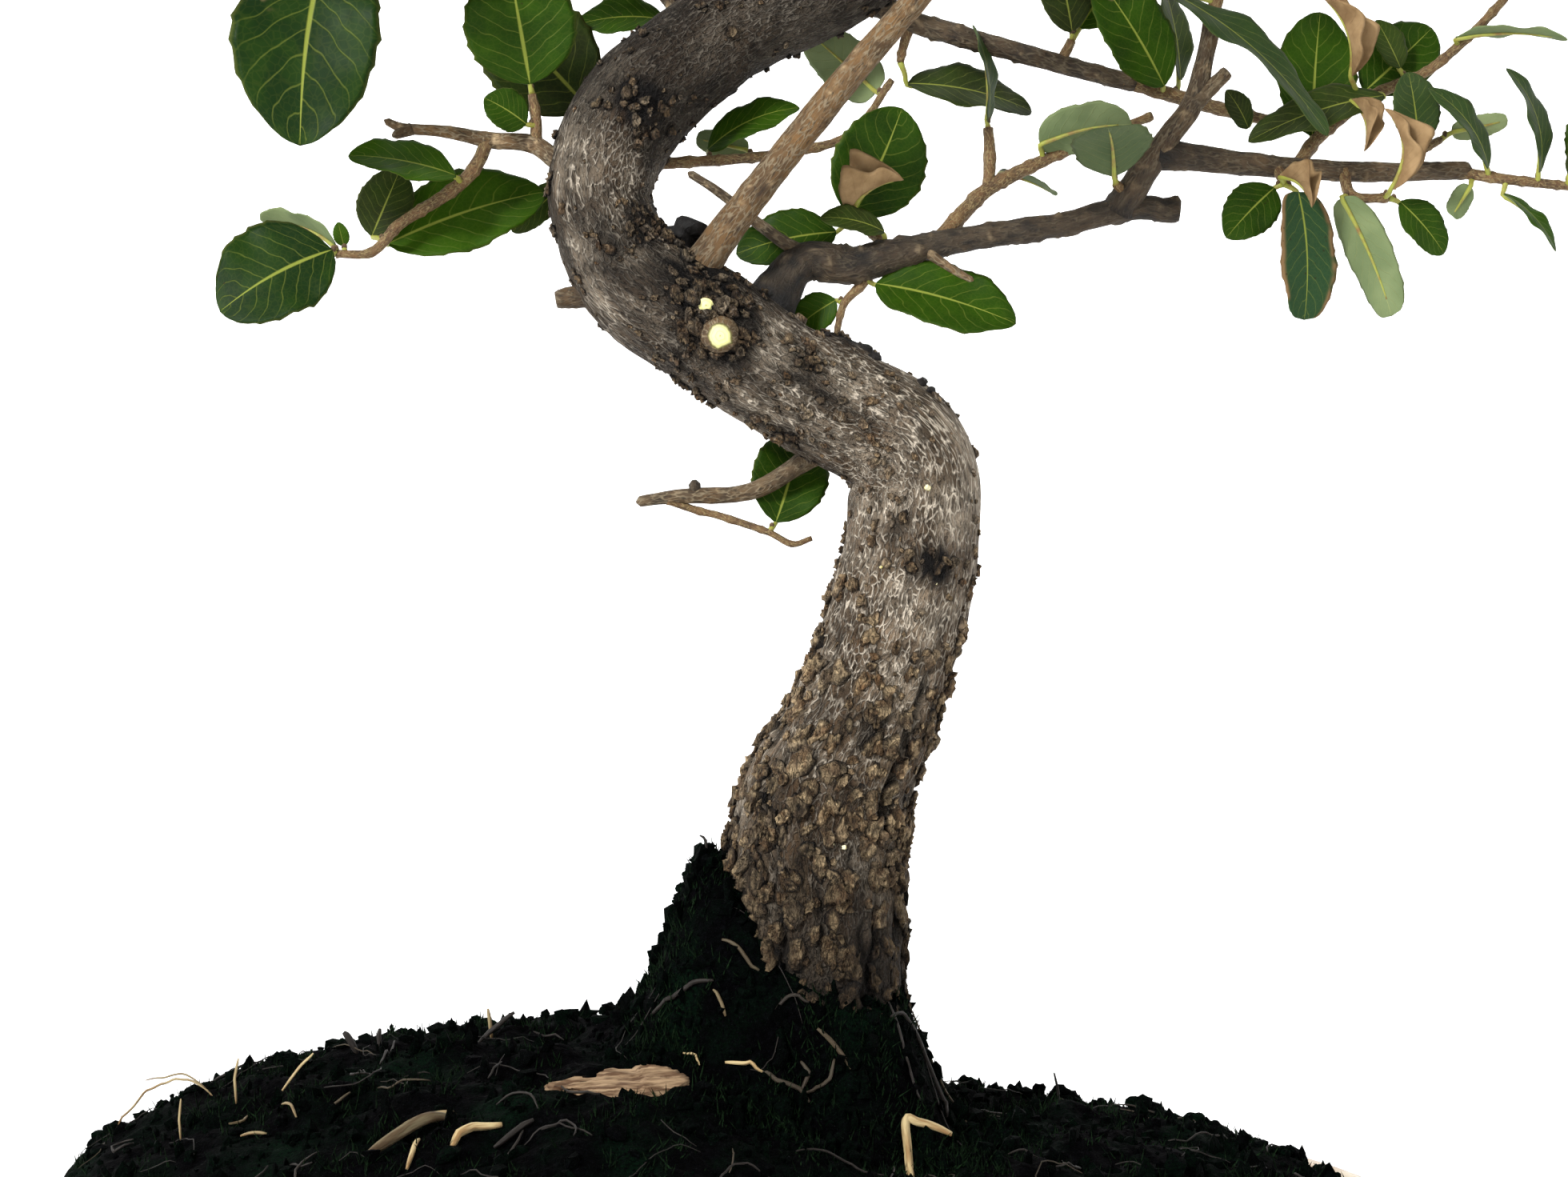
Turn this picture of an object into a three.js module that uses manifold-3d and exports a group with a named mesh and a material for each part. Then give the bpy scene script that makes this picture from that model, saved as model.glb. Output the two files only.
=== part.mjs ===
// Cork oak bonsai in an oval glazed pot. Millimetres, +Z up, front of the tree towards -Y.
// The origin is on the table, under the middle of the pot.
// Every stem is a list of [x, y, z, radius] and every leaf has a base, a tip, a width and a facing.
import * as THREE from 'three';
import { mergeVertices } from 'three/addons/utils/BufferGeometryUtils.js';
import Module from 'manifold-3d';

const wasm = await Module();
wasm.setup();

// Places are given as they look from the front at the depth of the trunk. A point at another
// depth lies on the same line of sight, from an eye this far in front of the trunk.
const VIEW = { x: 18, z: 213.9, distance: 600 };

const GAP = 0.35;
const MERGE = 1e-4;
const SCRAP = 3;

const POT = {
  length: 352,
  width: 250,
  height: 60,
  foot: 8,
  floor: 7,
  lip: 9,
  facets: 32,
  drainX: 78,
  drainRadius: 8,
};
const FOOT = { length: 40, depth: 12, angle: 0.84, alongX: 130, alongY: 80 };
const SCREEN = { size: 28, thick: 1.2, cells: 2, bar: 2 };

const SOIL = { left: 43, right: 22, leftCone: 50, rightCone: 35, lump: 1.9 };
const TRUNK_FOOT = { x: 25.5, y: 0, z: 76 };

const TRUNK_SIDES = 15;
const TRUNK_STEP = 7.6;
const TRUNK = [
  [25.5, 0, 76, 22],
  [25.5, 0, 100, 22],
  [25.5, 0, 118, 22],
  [25.3, 0, 132, 22.6],
  [25.6, 1, 147, 22.6],
  [29.4, 2, 164, 20.7],
  [36, 3, 178, 18.7],
  [42.4, 4, 195, 17.8],
  [48.4, 4, 216, 17.3],
  [50.4, 4, 231, 16.6],
  [50.5, 4, 241, 16.4],
  [47.5, 3, 249, 16],
  [41, 2, 254.6, 15.4],
  [29.2, 0, 260.2, 15],
  [15, -2, 267.8, 14.7],
  [-0.2, -3, 278.6, 15],
  [-14.2, -4, 287.4, 14.8],
  [-21.6, -3, 294, 13.8],
  [-26.6, -2, 304.8, 12.8],
  [-28, -1, 313, 13],
  [-25.4, 1, 324, 13.8],
  [-17.6, 3, 336.4, 14],
  [-8, 5, 344.6, 13.7],
  [2.4, 6, 352.6, 13.2],
  [14.4, 6, 358.8, 13],
  [26.4, 6, 364, 12.6],
  [36, 5, 369, 12],
  [46, 4, 377, 10.8],
  [52, 2, 388, 9.6],
  [50, 0, 401, 8.6],
  [40, -2, 413, 7.6],
  [26, -2, 424, 6.4],
  [15, 0, 437, 5.2],
  [12, 0, 453, 3.6],
];

// Scars and swellings of the trunk: place on its axis, reach and height of the swelling.
const SWELLINGS = [
  { at: [2, -16, 278], reach: 12, height: 2.6 },
  { at: [-1, -16, 286], reach: 8, height: 1.6 },
  { at: [54, -12, 220], reach: 8, height: 1.8 },
  { at: [-18, -11, 335], reach: 8, height: 2.2 },
  { at: [-14, -6, 300], reach: 9, height: 1.4 },
  { at: [34, 0, 274], reach: 8, height: 1.6 },
];

// Limbs that are one piece of wood with the trunk, cut ends and dead stubs included.
const LIMBS = {
  frontShoot: [[-5, -5, 288, 4.4], [-1, -10, 297, 3.9], [22, -16, 327, 3.6], [42, -20, 351, 3.3],
    [55, -23, 366, 3.1], [69, -27, 386, 2.8], [78, -31, 404, 2.4]],
  neck: [[12, 0, 281, 5], [22, 3, 295, 4.6], [34, 4, 294.5, 4.6], [45, 4, 297, 4.2],
    [62, 4, 301, 3.2], [88, 3, 305, 3], [104, 2, 309, 3.2], [117, 1, 308, 2.8]],
  rightFork: [[102, 2, 309, 3], [106, -2, 315, 3], [112, -4, 324, 2.8], [120, -6, 335, 2.5],
    [124, -6, 350, 2.2], [125.5, -6, 358, 2]],
  forkStub: [[120, -6, 335, 1.8], [129, -7, 343, 1.4]],
  rightLimb: [[111, -3, 322.5, 2.8], [122, -2, 321.5, 2.8], [134, -1, 320, 2.6],
    [162, 0, 318, 2.5], [190, 0, 318.5, 2.2]],
  backLimb: [[28, 8, 364, 3.4], [42, 12, 359.5, 2.7], [52, 12, 355, 2.6], [87, 12, 345, 2.4],
    [106, 12, 340, 2.2]],
  leftLimb: [[-27, 0, 316, 2.8], [-38, -2, 320.5, 2.2], [-45, -2, 325, 2], [-56, -2, 326, 1.9],
    [-66, -2, 328, 1.5], [-77, -2, 329, 1.2], [-82, -2, 331, 0.9]],
  leftFork: [[-75, -2, 328.8, 1.1], [-80, -3, 327, 0.8]],
  lowLimb: [[34, 6, 253, 2.8], [22, 10, 245, 2.3], [9, 10, 238, 2.1], [-8, 10, 237, 1.8],
    [-19, 10, 235.5, 1.4]],
  lowBud: [[-4, 10, 237, 1], [-4.5, 9, 241, 1.2]],
  deadTwig: [[27, 4, 296, 1.6], [17, 1, 301, 1.4], [3, -1, 312, 1.2], [-6, -2, 318, 1]],
  leftStub: [[-27, -4, 288, 2.6], [-39, -4, 286, 2]],
  deadStub: [[-8, -6, 291, 3.2], [-8, -8, 302, 2.2], [-7, -8, 307, 1.2]],
  topStub: [[26, 1, 262, 3], [33, 1, 274, 2.4]],
  neckTwig: [[52, 3, 299.5, 1.2], [58, 1, 295, 0.9], [65.5, -1, 290.6, 0.8]],
  cutLarge: [[2, -8, 278, 4.6], [2, -19, 277.4, 3.9], [2, -22.5, 277.2, 3.1]],
  cutSmall: [[-1.5, -8, 285, 3], [-1.5, -19.5, 284.6, 1.8]],
  crownLeft: [[6, 6, 355, 5], [-14, -2, 373, 4.4], [-40, -10, 385, 3.9], [-75, -16, 391, 3.3],
    [-110, -18, 389, 2.9], [-150, -14, 393, 2.4], [-178, -8, 399, 2]],
  crownRight: [[44, 4, 375, 5], [70, 6, 388, 4.2], [105, 8, 394, 3.4], [140, 6, 399, 2.7],
    [172, 2, 403, 2.1]],
  crownBack: [[52, 2, 388, 4.6], [52, 30, 397, 3.8], [44, 58, 403, 2.9], [36, 84, 405, 2.1]],
  crownFront: [[50, -2, 402, 4.4], [52, -28, 411, 3.6], [50, -52, 413, 2.8], [46, -76, 410, 2.1]],
  crownHighLeft: [[26, -1, 424, 4], [-6, 6, 436, 3.2], [-40, 10, 440, 2.5], [-72, 8, 438, 1.9]],
  crownHighRight: [[16, 0, 437, 3.6], [44, 6, 447, 2.7], [72, 10, 450, 1.8]],
  crownBackLeft: [[0, 8, 350, 4.4], [-22, 30, 378, 3.5], [-48, 52, 391, 2.7], [-74, 66, 398, 2]],
};

// Ways that a blade's glossy side can face.
const FRONT = [0.1, -1, 0.25];
const BEHIND = [0, 1, 0.3];
const SKY = [0, -0.35, 1];
const SKY_FRONT = [0, -0.8, 0.65];
const SIDEWAYS = [1, -0.35, 0.1];

// Leafy shoots in the front view. Each leaf is [base, tip, width, facing, bow].
const SHOOTS = {
  shoot_left_low: {
    twigs: [[[-56, -2, 326, 1.8], [-60, -3, 318, 1.7], [-67, -4, 312, 1.6], [-78, -5, 305, 1.4],
      [-85, -6, 298, 1.2], [-94, -7, 297.5, 1]]],
    leaves: [
      [[-95, -9, 298.5], [-123, -15, 283], 28, [-0.1, -1, 0.4], 0.05],
      [[-94, -4, 299.5], [-113, 2, 306], 10, [0, 0.5, 1], 0.1],
      [[-92, -6, 299.5], [-93.5, -9, 305.5], 4, FRONT, 0.05],
      [[-64, -8, 317], [-91, -14, 322], 15, SKY_FRONT, 0.08],
      [[-85, 0, 302], [-78, 4, 318.5], 14, FRONT, 0.05],
      [[-81, 2, 300], [-42, 13, 313], 23, [0.1, -1, 0.35], 0.06],
    ],
  },
  shoot_left_upper: {
    twigs: [[[-44, -2, 325, 1.6], [-44, -3, 331, 1.4], [-45, -4, 337.5, 1.1]]],
    leaves: [
      [[-46.5, -5, 330], [-57, -9, 336.5], 11, FRONT, 0.05],
      [[-45.5, -6, 340], [-51, -12, 371], 28, FRONT, 0.04],
    ],
  },
  shoot_left_back: {
    twigs: [[[-22, 6, 320, 1.8], [-35, 14, 321, 1.5], [-32, 15, 331, 1.1]]],
    leaves: [
      [[-31, 15, 334], [-56, 18, 359], 29, [-0.1, -1, 0.3], 0.05],
      [[-37, 15, 315], [-50, 17, 303], 9, FRONT, 0.05],
    ],
  },
  shoot_top_back: {
    twigs: [[[-6, 8, 348, 1.8], [-9, 20, 357, 1.4], [-8, 26, 368, 1]]],
    leaves: [
      [[-12, 21, 356], [-34, 22, 354.5], 15, SKY_FRONT, 0.08],
      [[-8, 28, 372], [-20, 34, 396], 19, [-0.4, -1, 0.5], 0.06],
    ],
  },
  shoot_middle_back: {
    twigs: [[[-14, 6, 320, 1.5], [13, 13, 322, 1.3], [34, 13, 327, 1.1], [45, 13, 341, 0.9]]],
    leaves: [
      [[-1, 13, 323.5], [22, 10, 334], 12, SKY_FRONT, 0.1],
      [[9, 15, 323.5], [-4, 19, 326.5], 7, BEHIND, 0.05],
      [[41, 16, 338], [24, 25, 353], 14, BEHIND, 0.06],
    ],
  },
  shoot_middle: {
    twigs: [[[44, 4, 298, 1.6], [41, 9, 302, 1.4], [35, 11, 306, 1]]],
    leaves: [
      [[35, 10, 307], [47.5, 8, 334], 24, [0.25, -1, 0.25], 0.05],
      [[34, 5, 307.5], [48, 0, 316], 13, [0.2, -0.6, 0.9], 0.16],
      [[43, 2, 303], [27, -1, 306.5], 9, SKY_FRONT, 0.1],
      [[31, 10, 303], [6, 10, 297.5], 15, FRONT, 0.05],
    ],
  },
  shoot_middle_low: {
    twigs: [[[40, 4, 296, 1.5], [38, 4, 290.5, 1.3], [33, 3, 285, 1], [31, 1, 277, 0.8]]],
    leaves: [
      [[31, 6, 286], [21, 9, 279], 10, FRONT, 0.05],
      [[41, 3, 290], [76, -5, 280], 20, [0.1, -0.9, 0.5], 0.05],
    ],
  },
  shoot_back_low: {
    twigs: [[[50, 12, 355.5, 1.4], [48, 14, 350, 1.2], [47, 14, 345.5, 1]]],
    leaves: [[[49, 17, 340], [80, 24, 333], 17, SKY_FRONT, 0.07]],
  },
  shoot_neck_up: {
    twigs: [
      [[56, 4, 300, 2.2], [63, 8, 308, 2.1], [71, 10, 315, 1.9], [90, 12, 324, 1.5],
        [110, 14, 332, 1.1]],
      [[69, 10, 313.5, 1.6], [69.5, 10, 322, 1.5], [69, 10, 329, 1.3]],
    ],
    leaves: [
      [[69, 10, 330.5], [65, 8, 355], 10, SIDEWAYS, 0.08],
      [[82, 8, 325], [105, 1, 330], 14, [0, 0.8, 0.8], 0.06],
      [[72, 16, 318], [86, 26, 312], 10, SKY, 0.05],
    ],
  },
  shoot_fork: {
    twigs: [[[104, 0, 312.5, 1.4], [101, -5, 315, 1.1]]],
    leaves: [[[100.5, -7, 317], [99, -27, 329], 20, [0, 0.6, 1], 0.08]],
  },
  shoot_low: {
    twigs: [[[-11, 10, 236, 1.2], [-4, 11, 233.5, 1], [2, 11, 232, 1], [14, 9, 228, 0.9],
      [20, 8, 225, 0.8], [25, 8, 226.5, 0.7]]],
    leaves: [[[16, 11, 230.5], [22, 21, 253], 20, FRONT, 0.04]],
  },
  shoot_back_middle: {
    twigs: [[[87, 12, 345, 1.4], [90, 10, 351, 1.2]]],
    leaves: [
      [[90, 9, 353], [84, 4, 376], 14, FRONT, 0.06],
      [[92, 11, 354], [104, 18, 372], 15, [0.3, -0.8, 0.5], 0.06],
    ],
  },
  shoot_back_end: {
    twigs: [[[103, 12, 340.8, 1.9], [119, 12, 336, 1.8], [130, 11, 333, 1.6], [139, 10, 331, 1.3]]],
    leaves: [
      [[113, 8, 339.5], [96, 2, 367], 18, [0.2, -1, 0.1], 0.06],
      [[117, 15, 341], [111, 18, 369], 13, [0.8, -0.7, 0.1], 0.06],
      [[134, 7, 329], [128.5, 4, 338.5], 7, FRONT, 0.05],
    ],
  },
  shoot_fork_top: {
    twigs: [[[125, -6, 356, 1.8], [127, -8, 366, 1.7], [128, -9, 378, 1.5], [124, -12, 392, 1.3]]],
    leaves: [
      [[112, -14, 364], [154, -26, 327], 13, [0.6, -0.75, 0.6], 0.07],
      [[131, -12, 382], [152, -24, 392], 19, SKY_FRONT, 0.07],
      [[121, -14, 389], [98, -24, 398], 18, SKY_FRONT, 0.07],
      [[124, -14, 395], [130, -22, 420], 19, FRONT, 0.05],
    ],
  },
  shoot_right_up: {
    twigs: [[[146, 0, 319, 1.9], [152, 6, 327, 1.7], [165, 8, 337, 1.5], [180, 6, 344, 1.3],
      [197, 4, 360, 1.1], [206, 2, 374, 0.9]]],
    leaves: [
      [[150, 11, 327], [152, 15, 358], 21, [0.1, -1, 0.2], 0.04],
      [[163, 12, 338], [180, 17, 354], 18, FRONT, 0.05],
      [[168, 3, 337], [134, 3, 325.5], 13, [0.1, -0.8, 0.6], 0.08],
      [[172, 8, 344], [166, 8, 356], 9, SKY_FRONT, 0.05],
      [[186, 3, 351.5], [214, -3, 351], 8, [0, 0.25, 1], 0.06],
      [[160, 0, 342], [151, -5, 363], 9, [0.6, -0.8, 0.2], 0.18],
      [[160, 1, 336], [163, -3, 323], 8, [0.5, -1, 0.2], 0.2],
      [[209, -1, 377], [222, -16, 388], 15, SKY_FRONT, 0.06],
      [[202, 5, 371], [196, 16, 392], 16, FRONT, 0.06],
    ],
  },
  shoot_right_hanging: {
    twigs: [[[141, -1, 320, 1.5], [143, -5, 315, 1.2]]],
    leaves: [
      [[140.5, -5, 314], [128.5, -8, 301.5], 13, FRONT, 0.05],
      [[142, -8, 317], [150, -14, 309], 9, [0, -0.4, 1], 0.2],
      [[145, -7, 313], [148.5, -9, 281], 15, [0.3, -1, 0], 0.06],
    ],
  },
  shoot_right_pale: {
    twigs: [[[158, -1, 318, 1.5], [160, -6, 312, 1.3], [169, -5, 311.5, 1.1]]],
    leaves: [
      [[161, -8, 309], [170, -10, 282], 17, [0.3, 1, 0.2], 0.06],
      [[172, -5, 310.5], [183, -2, 297.5], 11, FRONT, 0.05],
      [[170, -10, 313.5], [168, -13, 334], 8, [0.8, -0.6, 0.1], 0.2],
    ],
  },
  shoot_right_middle: {
    twigs: [[[174, 0, 318.5, 1.4], [177, 0, 323, 1.2], [182, 3, 326, 1]]],
    leaves: [
      [[176.5, -2, 325], [174, -4, 343], 13, FRONT, 0.06],
      [[185, 3, 328], [199, 3, 331], 6, BEHIND, 0.06],
    ],
  },
  shoot_right_end: {
    twigs: [[[186, 0, 318, 1.5], [200, -2, 316, 1.3], [214, -2, 314.5, 1.1], [219, -2, 314, 0.9]]],
    leaves: [
      [[194, -4, 319], [179, -8, 339], 9, [0.8, -0.7, 0.2], 0.12],
      [[207, -4, 318], [198.5, -7, 344], 9, [0.7, -0.8, 0.2], 0.12],
      [[214.5, -4, 317], [217, -6, 335], 9, [0.5, -0.9, 0.2], 0.08],
      [[198, -2, 312.5], [211, -5, 298], 7, [0.6, -0.6, 0.6], 0.08],
      [[189.5, -2, 314.5], [185, -5, 307], 6, BEHIND, 0.05],
      [[219, 0, 316], [221, 14, 334], 15, SKY_FRONT, 0.06],
    ],
  },
  shoot_left_front: {
    twigs: [[[-90, -17, 390.5, 1.8], [-94, -22, 384, 1.5], [-96, -25, 378, 1.1]]],
    leaves: [
      [[-96.5, -26, 375], [-103, -31, 324.5], 35, [0.05, -1, 0.12], 0.04],
      [[-92, -25, 384], [-70, -36, 372], 20, SKY_FRONT, 0.08],
    ],
  },
};

// Leafy shoots of the crown: start, end, number of leaves and seed of the small variations.
const CROWN = {
  crown_left_tip: [[-176, -8, 398.6], [-198, -6, 402], 5, 3],
  crown_left_outer: [[-150, -14, 393], [-160, -50, 401], 4, 5],
  crown_left_back: [[-128, -16.5, 390.6], [-137, 20, 402], 4, 7],
  crown_right_tip: [[170, 2, 402.8], [194, 4, 414], 5, 11],
  crown_right_front: [[140, 6, 398.8], [162, -38, 412], 4, 13],
  crown_right_back: [[112, 7.6, 395], [122, 46, 404], 4, 15],
  crown_right_up: [[84, 6.8, 390.8], [88, -2, 424], 4, 17],
  crown_back_tip: [[36.4, 83, 405], [28, 106, 408], 5, 19],
  crown_front_tip: [[46.3, -75, 410], [42, -100, 412], 5, 23],
  crown_high_left: [[-70, 8, 438], [-98, 4, 442], 4, 27],
  crown_high_back: [[-26, 8.6, 438.5], [-34, 42, 448], 4, 29],
  crown_high_right: [[70, 9.8, 449.8], [98, 12, 456], 4, 31],
  crown_apex: [[12, 0, 452], [6, -2, 474], 6, 33],
  crown_back_left: [[-72, 65, 397.6], [-98, 76, 402], 4, 37],
  crown_front_shoot: [[77.5, -31, 403], [94, -56, 420], 4, 39],
};
const GOLDEN_ANGLE = 2.39996;
const CROWN_LEAF = { length: 31, spread: 7, slender: 0.6, petiole: 5, twigRadius: 1.5 };

// Blade outline as [distance along, half-width], both as fractions, with small notches.
const BLADE = {
  fine: { edge: [[0.07, 0.44], [0.25, 0.88], [0.46, 1], [0.68, 0.88], [0.87, 0.55]],
    rib: [0.25, 0.5, 0.75] },
  plain: { edge: [[0.12, 0.6], [0.38, 1], [0.64, 0.92], [0.86, 0.56]], rib: [0.5] },
  plainBelow: 15,
  thick: 0.8,
  keel: 0.16,
  wave: 0.035,
  stalk: 0.75,
};

const CHIP = { x: -21, y: -40, length: 33, width: 13, thick: 4.2, turn: 0.12 };
const STRAWS = {
  straw_bent: { points: [[58, -26], [47, -28], [48, -46]], radius: 1 },
  stick_left: { points: [[-74, -70], [-58, -56]], radius: 1.3 },
};

const COLOURS = {
  bark: { color: 0x6e645a, roughness: 0.9 },
  leaf: { color: 0x3c6b2d, roughness: 0.42 },
  soil: { color: 0x1c1a16, roughness: 1 },
  glaze: { color: 0xe4dcc8, roughness: 0.28 },
  screen: { color: 0x2a2a2c, roughness: 0.6 },
  chip: { color: 0xb48a70, roughness: 0.85 },
  straw: { color: 0xb79a66, roughness: 0.8 },
};

// Numbers between 0 and 1 that are the same at every run.
function seeded(seed) {
  let state = seed * 7919;
  return () => {
    state = (Math.imul(state, 1664525) + 1013904223) >>> 0;
    return state / 4294967296;
  };
}

function seen([x, y, z]) {
  const reach = (VIEW.distance + y) / VIEW.distance;
  return new THREE.Vector3(VIEW.x + (x - VIEW.x) * reach, y, VIEW.z + (z - VIEW.z) * reach);
}

function catmull(a, b, c, d, t) {
  const linear = (c - a) * t;
  const square = (2 * a - 5 * b + 4 * c - d) * t * t;
  const cube = (3 * b - a - 3 * c + d) * t * t * t;
  return 0.5 * (2 * b + linear + square + cube);
}

// A smooth stem through its points, as { at, radius } samples about one step apart.
function sampleStem(stem, step) {
  const knots = stem.map((point) => [...seen(point).toArray(), point[3]]);
  const last = knots.length - 1;
  const before = knots[0].map((value, axis) => 2 * value - knots[1][axis]);
  const after = knots[last].map((value, axis) => 2 * value - knots[last - 1][axis]);
  const all = [before, ...knots, after];
  const samples = [];
  for (let i = 0; i < last; i += 1) {
    const [a, b, c, d] = all.slice(i, i + 4);
    const length = Math.hypot(c[0] - b[0], c[1] - b[1], c[2] - b[2]);
    const parts = Math.max(1, Math.round(length / step));
    for (let part = 0; part < parts; part += 1) {
      samples.push(b.map((value, axis) => catmull(a[axis], value, c[axis], d[axis], part / parts)));
    }
  }
  samples.push(knots[last]);
  return samples.map(([x, y, z, radius]) => ({ at: new THREE.Vector3(x, y, z), radius }));
}

// Rings of points round the samples of a stem, turned as little as possible from one to the next.
function ringsAlong(samples, sides, relief = () => 0) {
  let side = new THREE.Vector3(1, 0, 0);
  const rings = samples.map((sample, i) => {
    const from = samples[Math.max(0, i - 1)].at;
    const to = samples[Math.min(samples.length - 1, i + 1)].at;
    const tangent = to.clone().sub(from).normalize();
    if (Math.abs(side.dot(tangent)) > 0.95) {
      side = new THREE.Vector3(0, 1, 0);
    }
    side.addScaledVector(tangent, -side.dot(tangent)).normalize();
    const up = tangent.clone().cross(side);
    return Array.from({ length: sides }, (_, k) => {
      const angle = (2 * Math.PI * k) / sides;
      const out = side.clone().multiplyScalar(Math.cos(angle)).addScaledVector(up, Math.sin(angle));
      const radius = sample.radius + relief(i, k, sample, out);
      return sample.at.clone().addScaledVector(out, radius);
    });
  });
  return rings;
}

// Longer at both ends and thicker all round, for the room that a piece needs in its neighbour.
function grown(samples, extra) {
  const count = samples.length;
  const first = samples[0].at.clone().sub(samples[1].at).setLength(extra);
  const last = samples[count - 1].at.clone().sub(samples[count - 2].at).setLength(extra);
  return samples.map(({ at, radius }, i) => {
    const moved = at.clone();
    if (i === 0) {
      moved.add(first);
    }
    if (i === count - 1) {
      moved.add(last);
    }
    return { at: moved, radius: radius + extra };
  });
}

// One closed skin over a row of rings, with a flat cap on each end.
function skin(rings) {
  const sides = rings[0].length;
  const points = rings.flat();
  const triangles = [];
  for (let i = 0; i + 1 < rings.length; i += 1) {
    for (let k = 0; k < sides; k += 1) {
      const a = i * sides + k;
      const b = i * sides + ((k + 1) % sides);
      triangles.push(a, b, b + sides, a, b + sides, a + sides);
    }
  }
  const end = (rings.length - 1) * sides;
  const middle = (ring) => ring.reduce((sum, p) => sum.add(p), new THREE.Vector3())
    .divideScalar(sides);
  const startCap = points.push(middle(rings[0])) - 1;
  const endCap = points.push(middle(rings.at(-1))) - 1;
  for (let k = 0; k < sides; k += 1) {
    const next = (k + 1) % sides;
    triangles.push(next, k, startCap, end + k, end + next, endCap);
  }
  return shell(points, triangles);
}

// A closed geometry from points and triangles, with its faces turned outwards.
function shell(points, triangles) {
  let volume = 0;
  for (let i = 0; i < triangles.length; i += 3) {
    const [a, b, c] = [0, 1, 2].map((k) => points[triangles[i + k]]);
    volume += a.dot(b.clone().cross(c));
  }
  const outward = volume > 0 ? triangles : triangles.toReversed();
  const geometry = new THREE.BufferGeometry().setFromPoints(points);
  geometry.setIndex(outward);
  return geometry;
}

function toSolid(geometry) {
  const bare = geometry.clone();
  bare.deleteAttribute('normal');
  bare.deleteAttribute('uv');
  const merged = mergeVertices(bare, MERGE);
  return new wasm.Manifold(new wasm.Mesh({
    numProp: 3,
    vertProperties: new Float32Array(merged.attributes.position.array),
    triVerts: new Uint32Array(merged.index.array),
  }));
}

function join(solids) {
  return solids.reduce((whole, solid) => whole.add(solid));
}

function toMesh(name, solid, colour) {
  const { vertProperties, triVerts } = solid.getMesh();
  const geometry = new THREE.BufferGeometry();
  geometry.setAttribute('position', new THREE.BufferAttribute(new Float32Array(vertProperties), 3));
  geometry.setIndex(new THREE.BufferAttribute(new Uint32Array(triVerts), 1));
  geometry.computeVertexNormals();
  const mesh = new THREE.Mesh(geometry, new THREE.MeshStandardMaterial({ ...colour, metalness: 0 }));
  mesh.name = name;
  return mesh;
}

function oval(halfLength, halfWidth, z, count, shiftX = 0) {
  return Array.from({ length: count }, (_, k) => {
    const angle = (2 * Math.PI * k) / count;
    return new THREE.Vector3(
      shiftX + halfLength * Math.cos(angle),
      halfWidth * Math.sin(angle),
      z,
    );
  });
}

function upright(radius, from, to, x, y, sides) {
  const geometry = new THREE.CylinderGeometry(radius, radius, to - from, sides);
  geometry.rotateX(Math.PI / 2).translate(x, y, (from + to) / 2);
  return toSolid(geometry);
}

function block(sizeX, sizeY, from, to, x, y) {
  const geometry = new THREE.BoxGeometry(sizeX, sizeY, to - from);
  geometry.translate(x, y, (from + to) / 2);
  return toSolid(geometry);
}

// Pot: an oval bowl with a rounded lip, four feet and two drainage holes.
function potRing(inset, z, count = POT.facets) {
  return oval(POT.length / 2 - inset, POT.width / 2 - inset, z, count);
}

const POT_INSIDE = [
  { inset: POT.lip + 1.2, z: POT.height - 1.6 },
  { inset: POT.lip + 15, z: POT.foot + POT.floor + 4 },
  { inset: POT.lip + 21, z: POT.foot + POT.floor },
];

function makePot() {
  const body = skin([
    potRing(27, POT.foot),
    potRing(19, POT.foot + 1.5),
    potRing(17.5, POT.foot + 5),
    potRing(6, POT.height - 9),
    potRing(0, POT.height - 6.5),
    potRing(0, POT.height - 1.6),
    potRing(1.4, POT.height),
    potRing(POT.lip - 1.4, POT.height),
    ...POT_INSIDE.map(({ inset, z }) => potRing(inset, z)),
  ]);
  let pot = toSolid(body);
  for (const [sideX, sideY] of [[1, 1], [-1, 1], [-1, -1], [1, -1]]) {
    pot = pot.add(makeFoot(sideX, sideY));
  }
  for (const x of [-POT.drainX, POT.drainX]) {
    pot = pot.subtract(upright(POT.drainRadius, 0, POT.foot + POT.floor + 1, x, 0, 12));
  }
  return toMesh('pot', pot, COLOURS.glaze);
}

function footPlace(sideX, sideY) {
  return {
    x: sideX * FOOT.alongX * Math.cos(FOOT.angle),
    y: sideY * FOOT.alongY * Math.sin(FOOT.angle),
    turn: Math.atan2(
      sideY * FOOT.alongY * Math.cos(FOOT.angle),
      -sideX * FOOT.alongX * Math.sin(FOOT.angle),
    ),
  };
}

function makeFoot(sideX, sideY) {
  const half = FOOT.length / 2;
  const deep = FOOT.depth / 2;
  const shape = new THREE.Shape();
  shape.moveTo(-half + deep, -deep);
  shape.lineTo(half - deep, -deep);
  shape.absarc(half - deep, 0, deep, -Math.PI / 2, Math.PI / 2);
  shape.lineTo(-half + deep, deep);
  shape.absarc(-half + deep, 0, deep, Math.PI / 2, Math.PI * 1.5);
  const foot = new THREE.ExtrudeGeometry(shape, {
    depth: POT.foot + 2,
    bevelEnabled: false,
    curveSegments: 2,
  });
  const { x, y, turn } = footPlace(sideX, sideY);
  foot.rotateZ(turn).translate(x, y, 0);
  return toSolid(foot);
}

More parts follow.
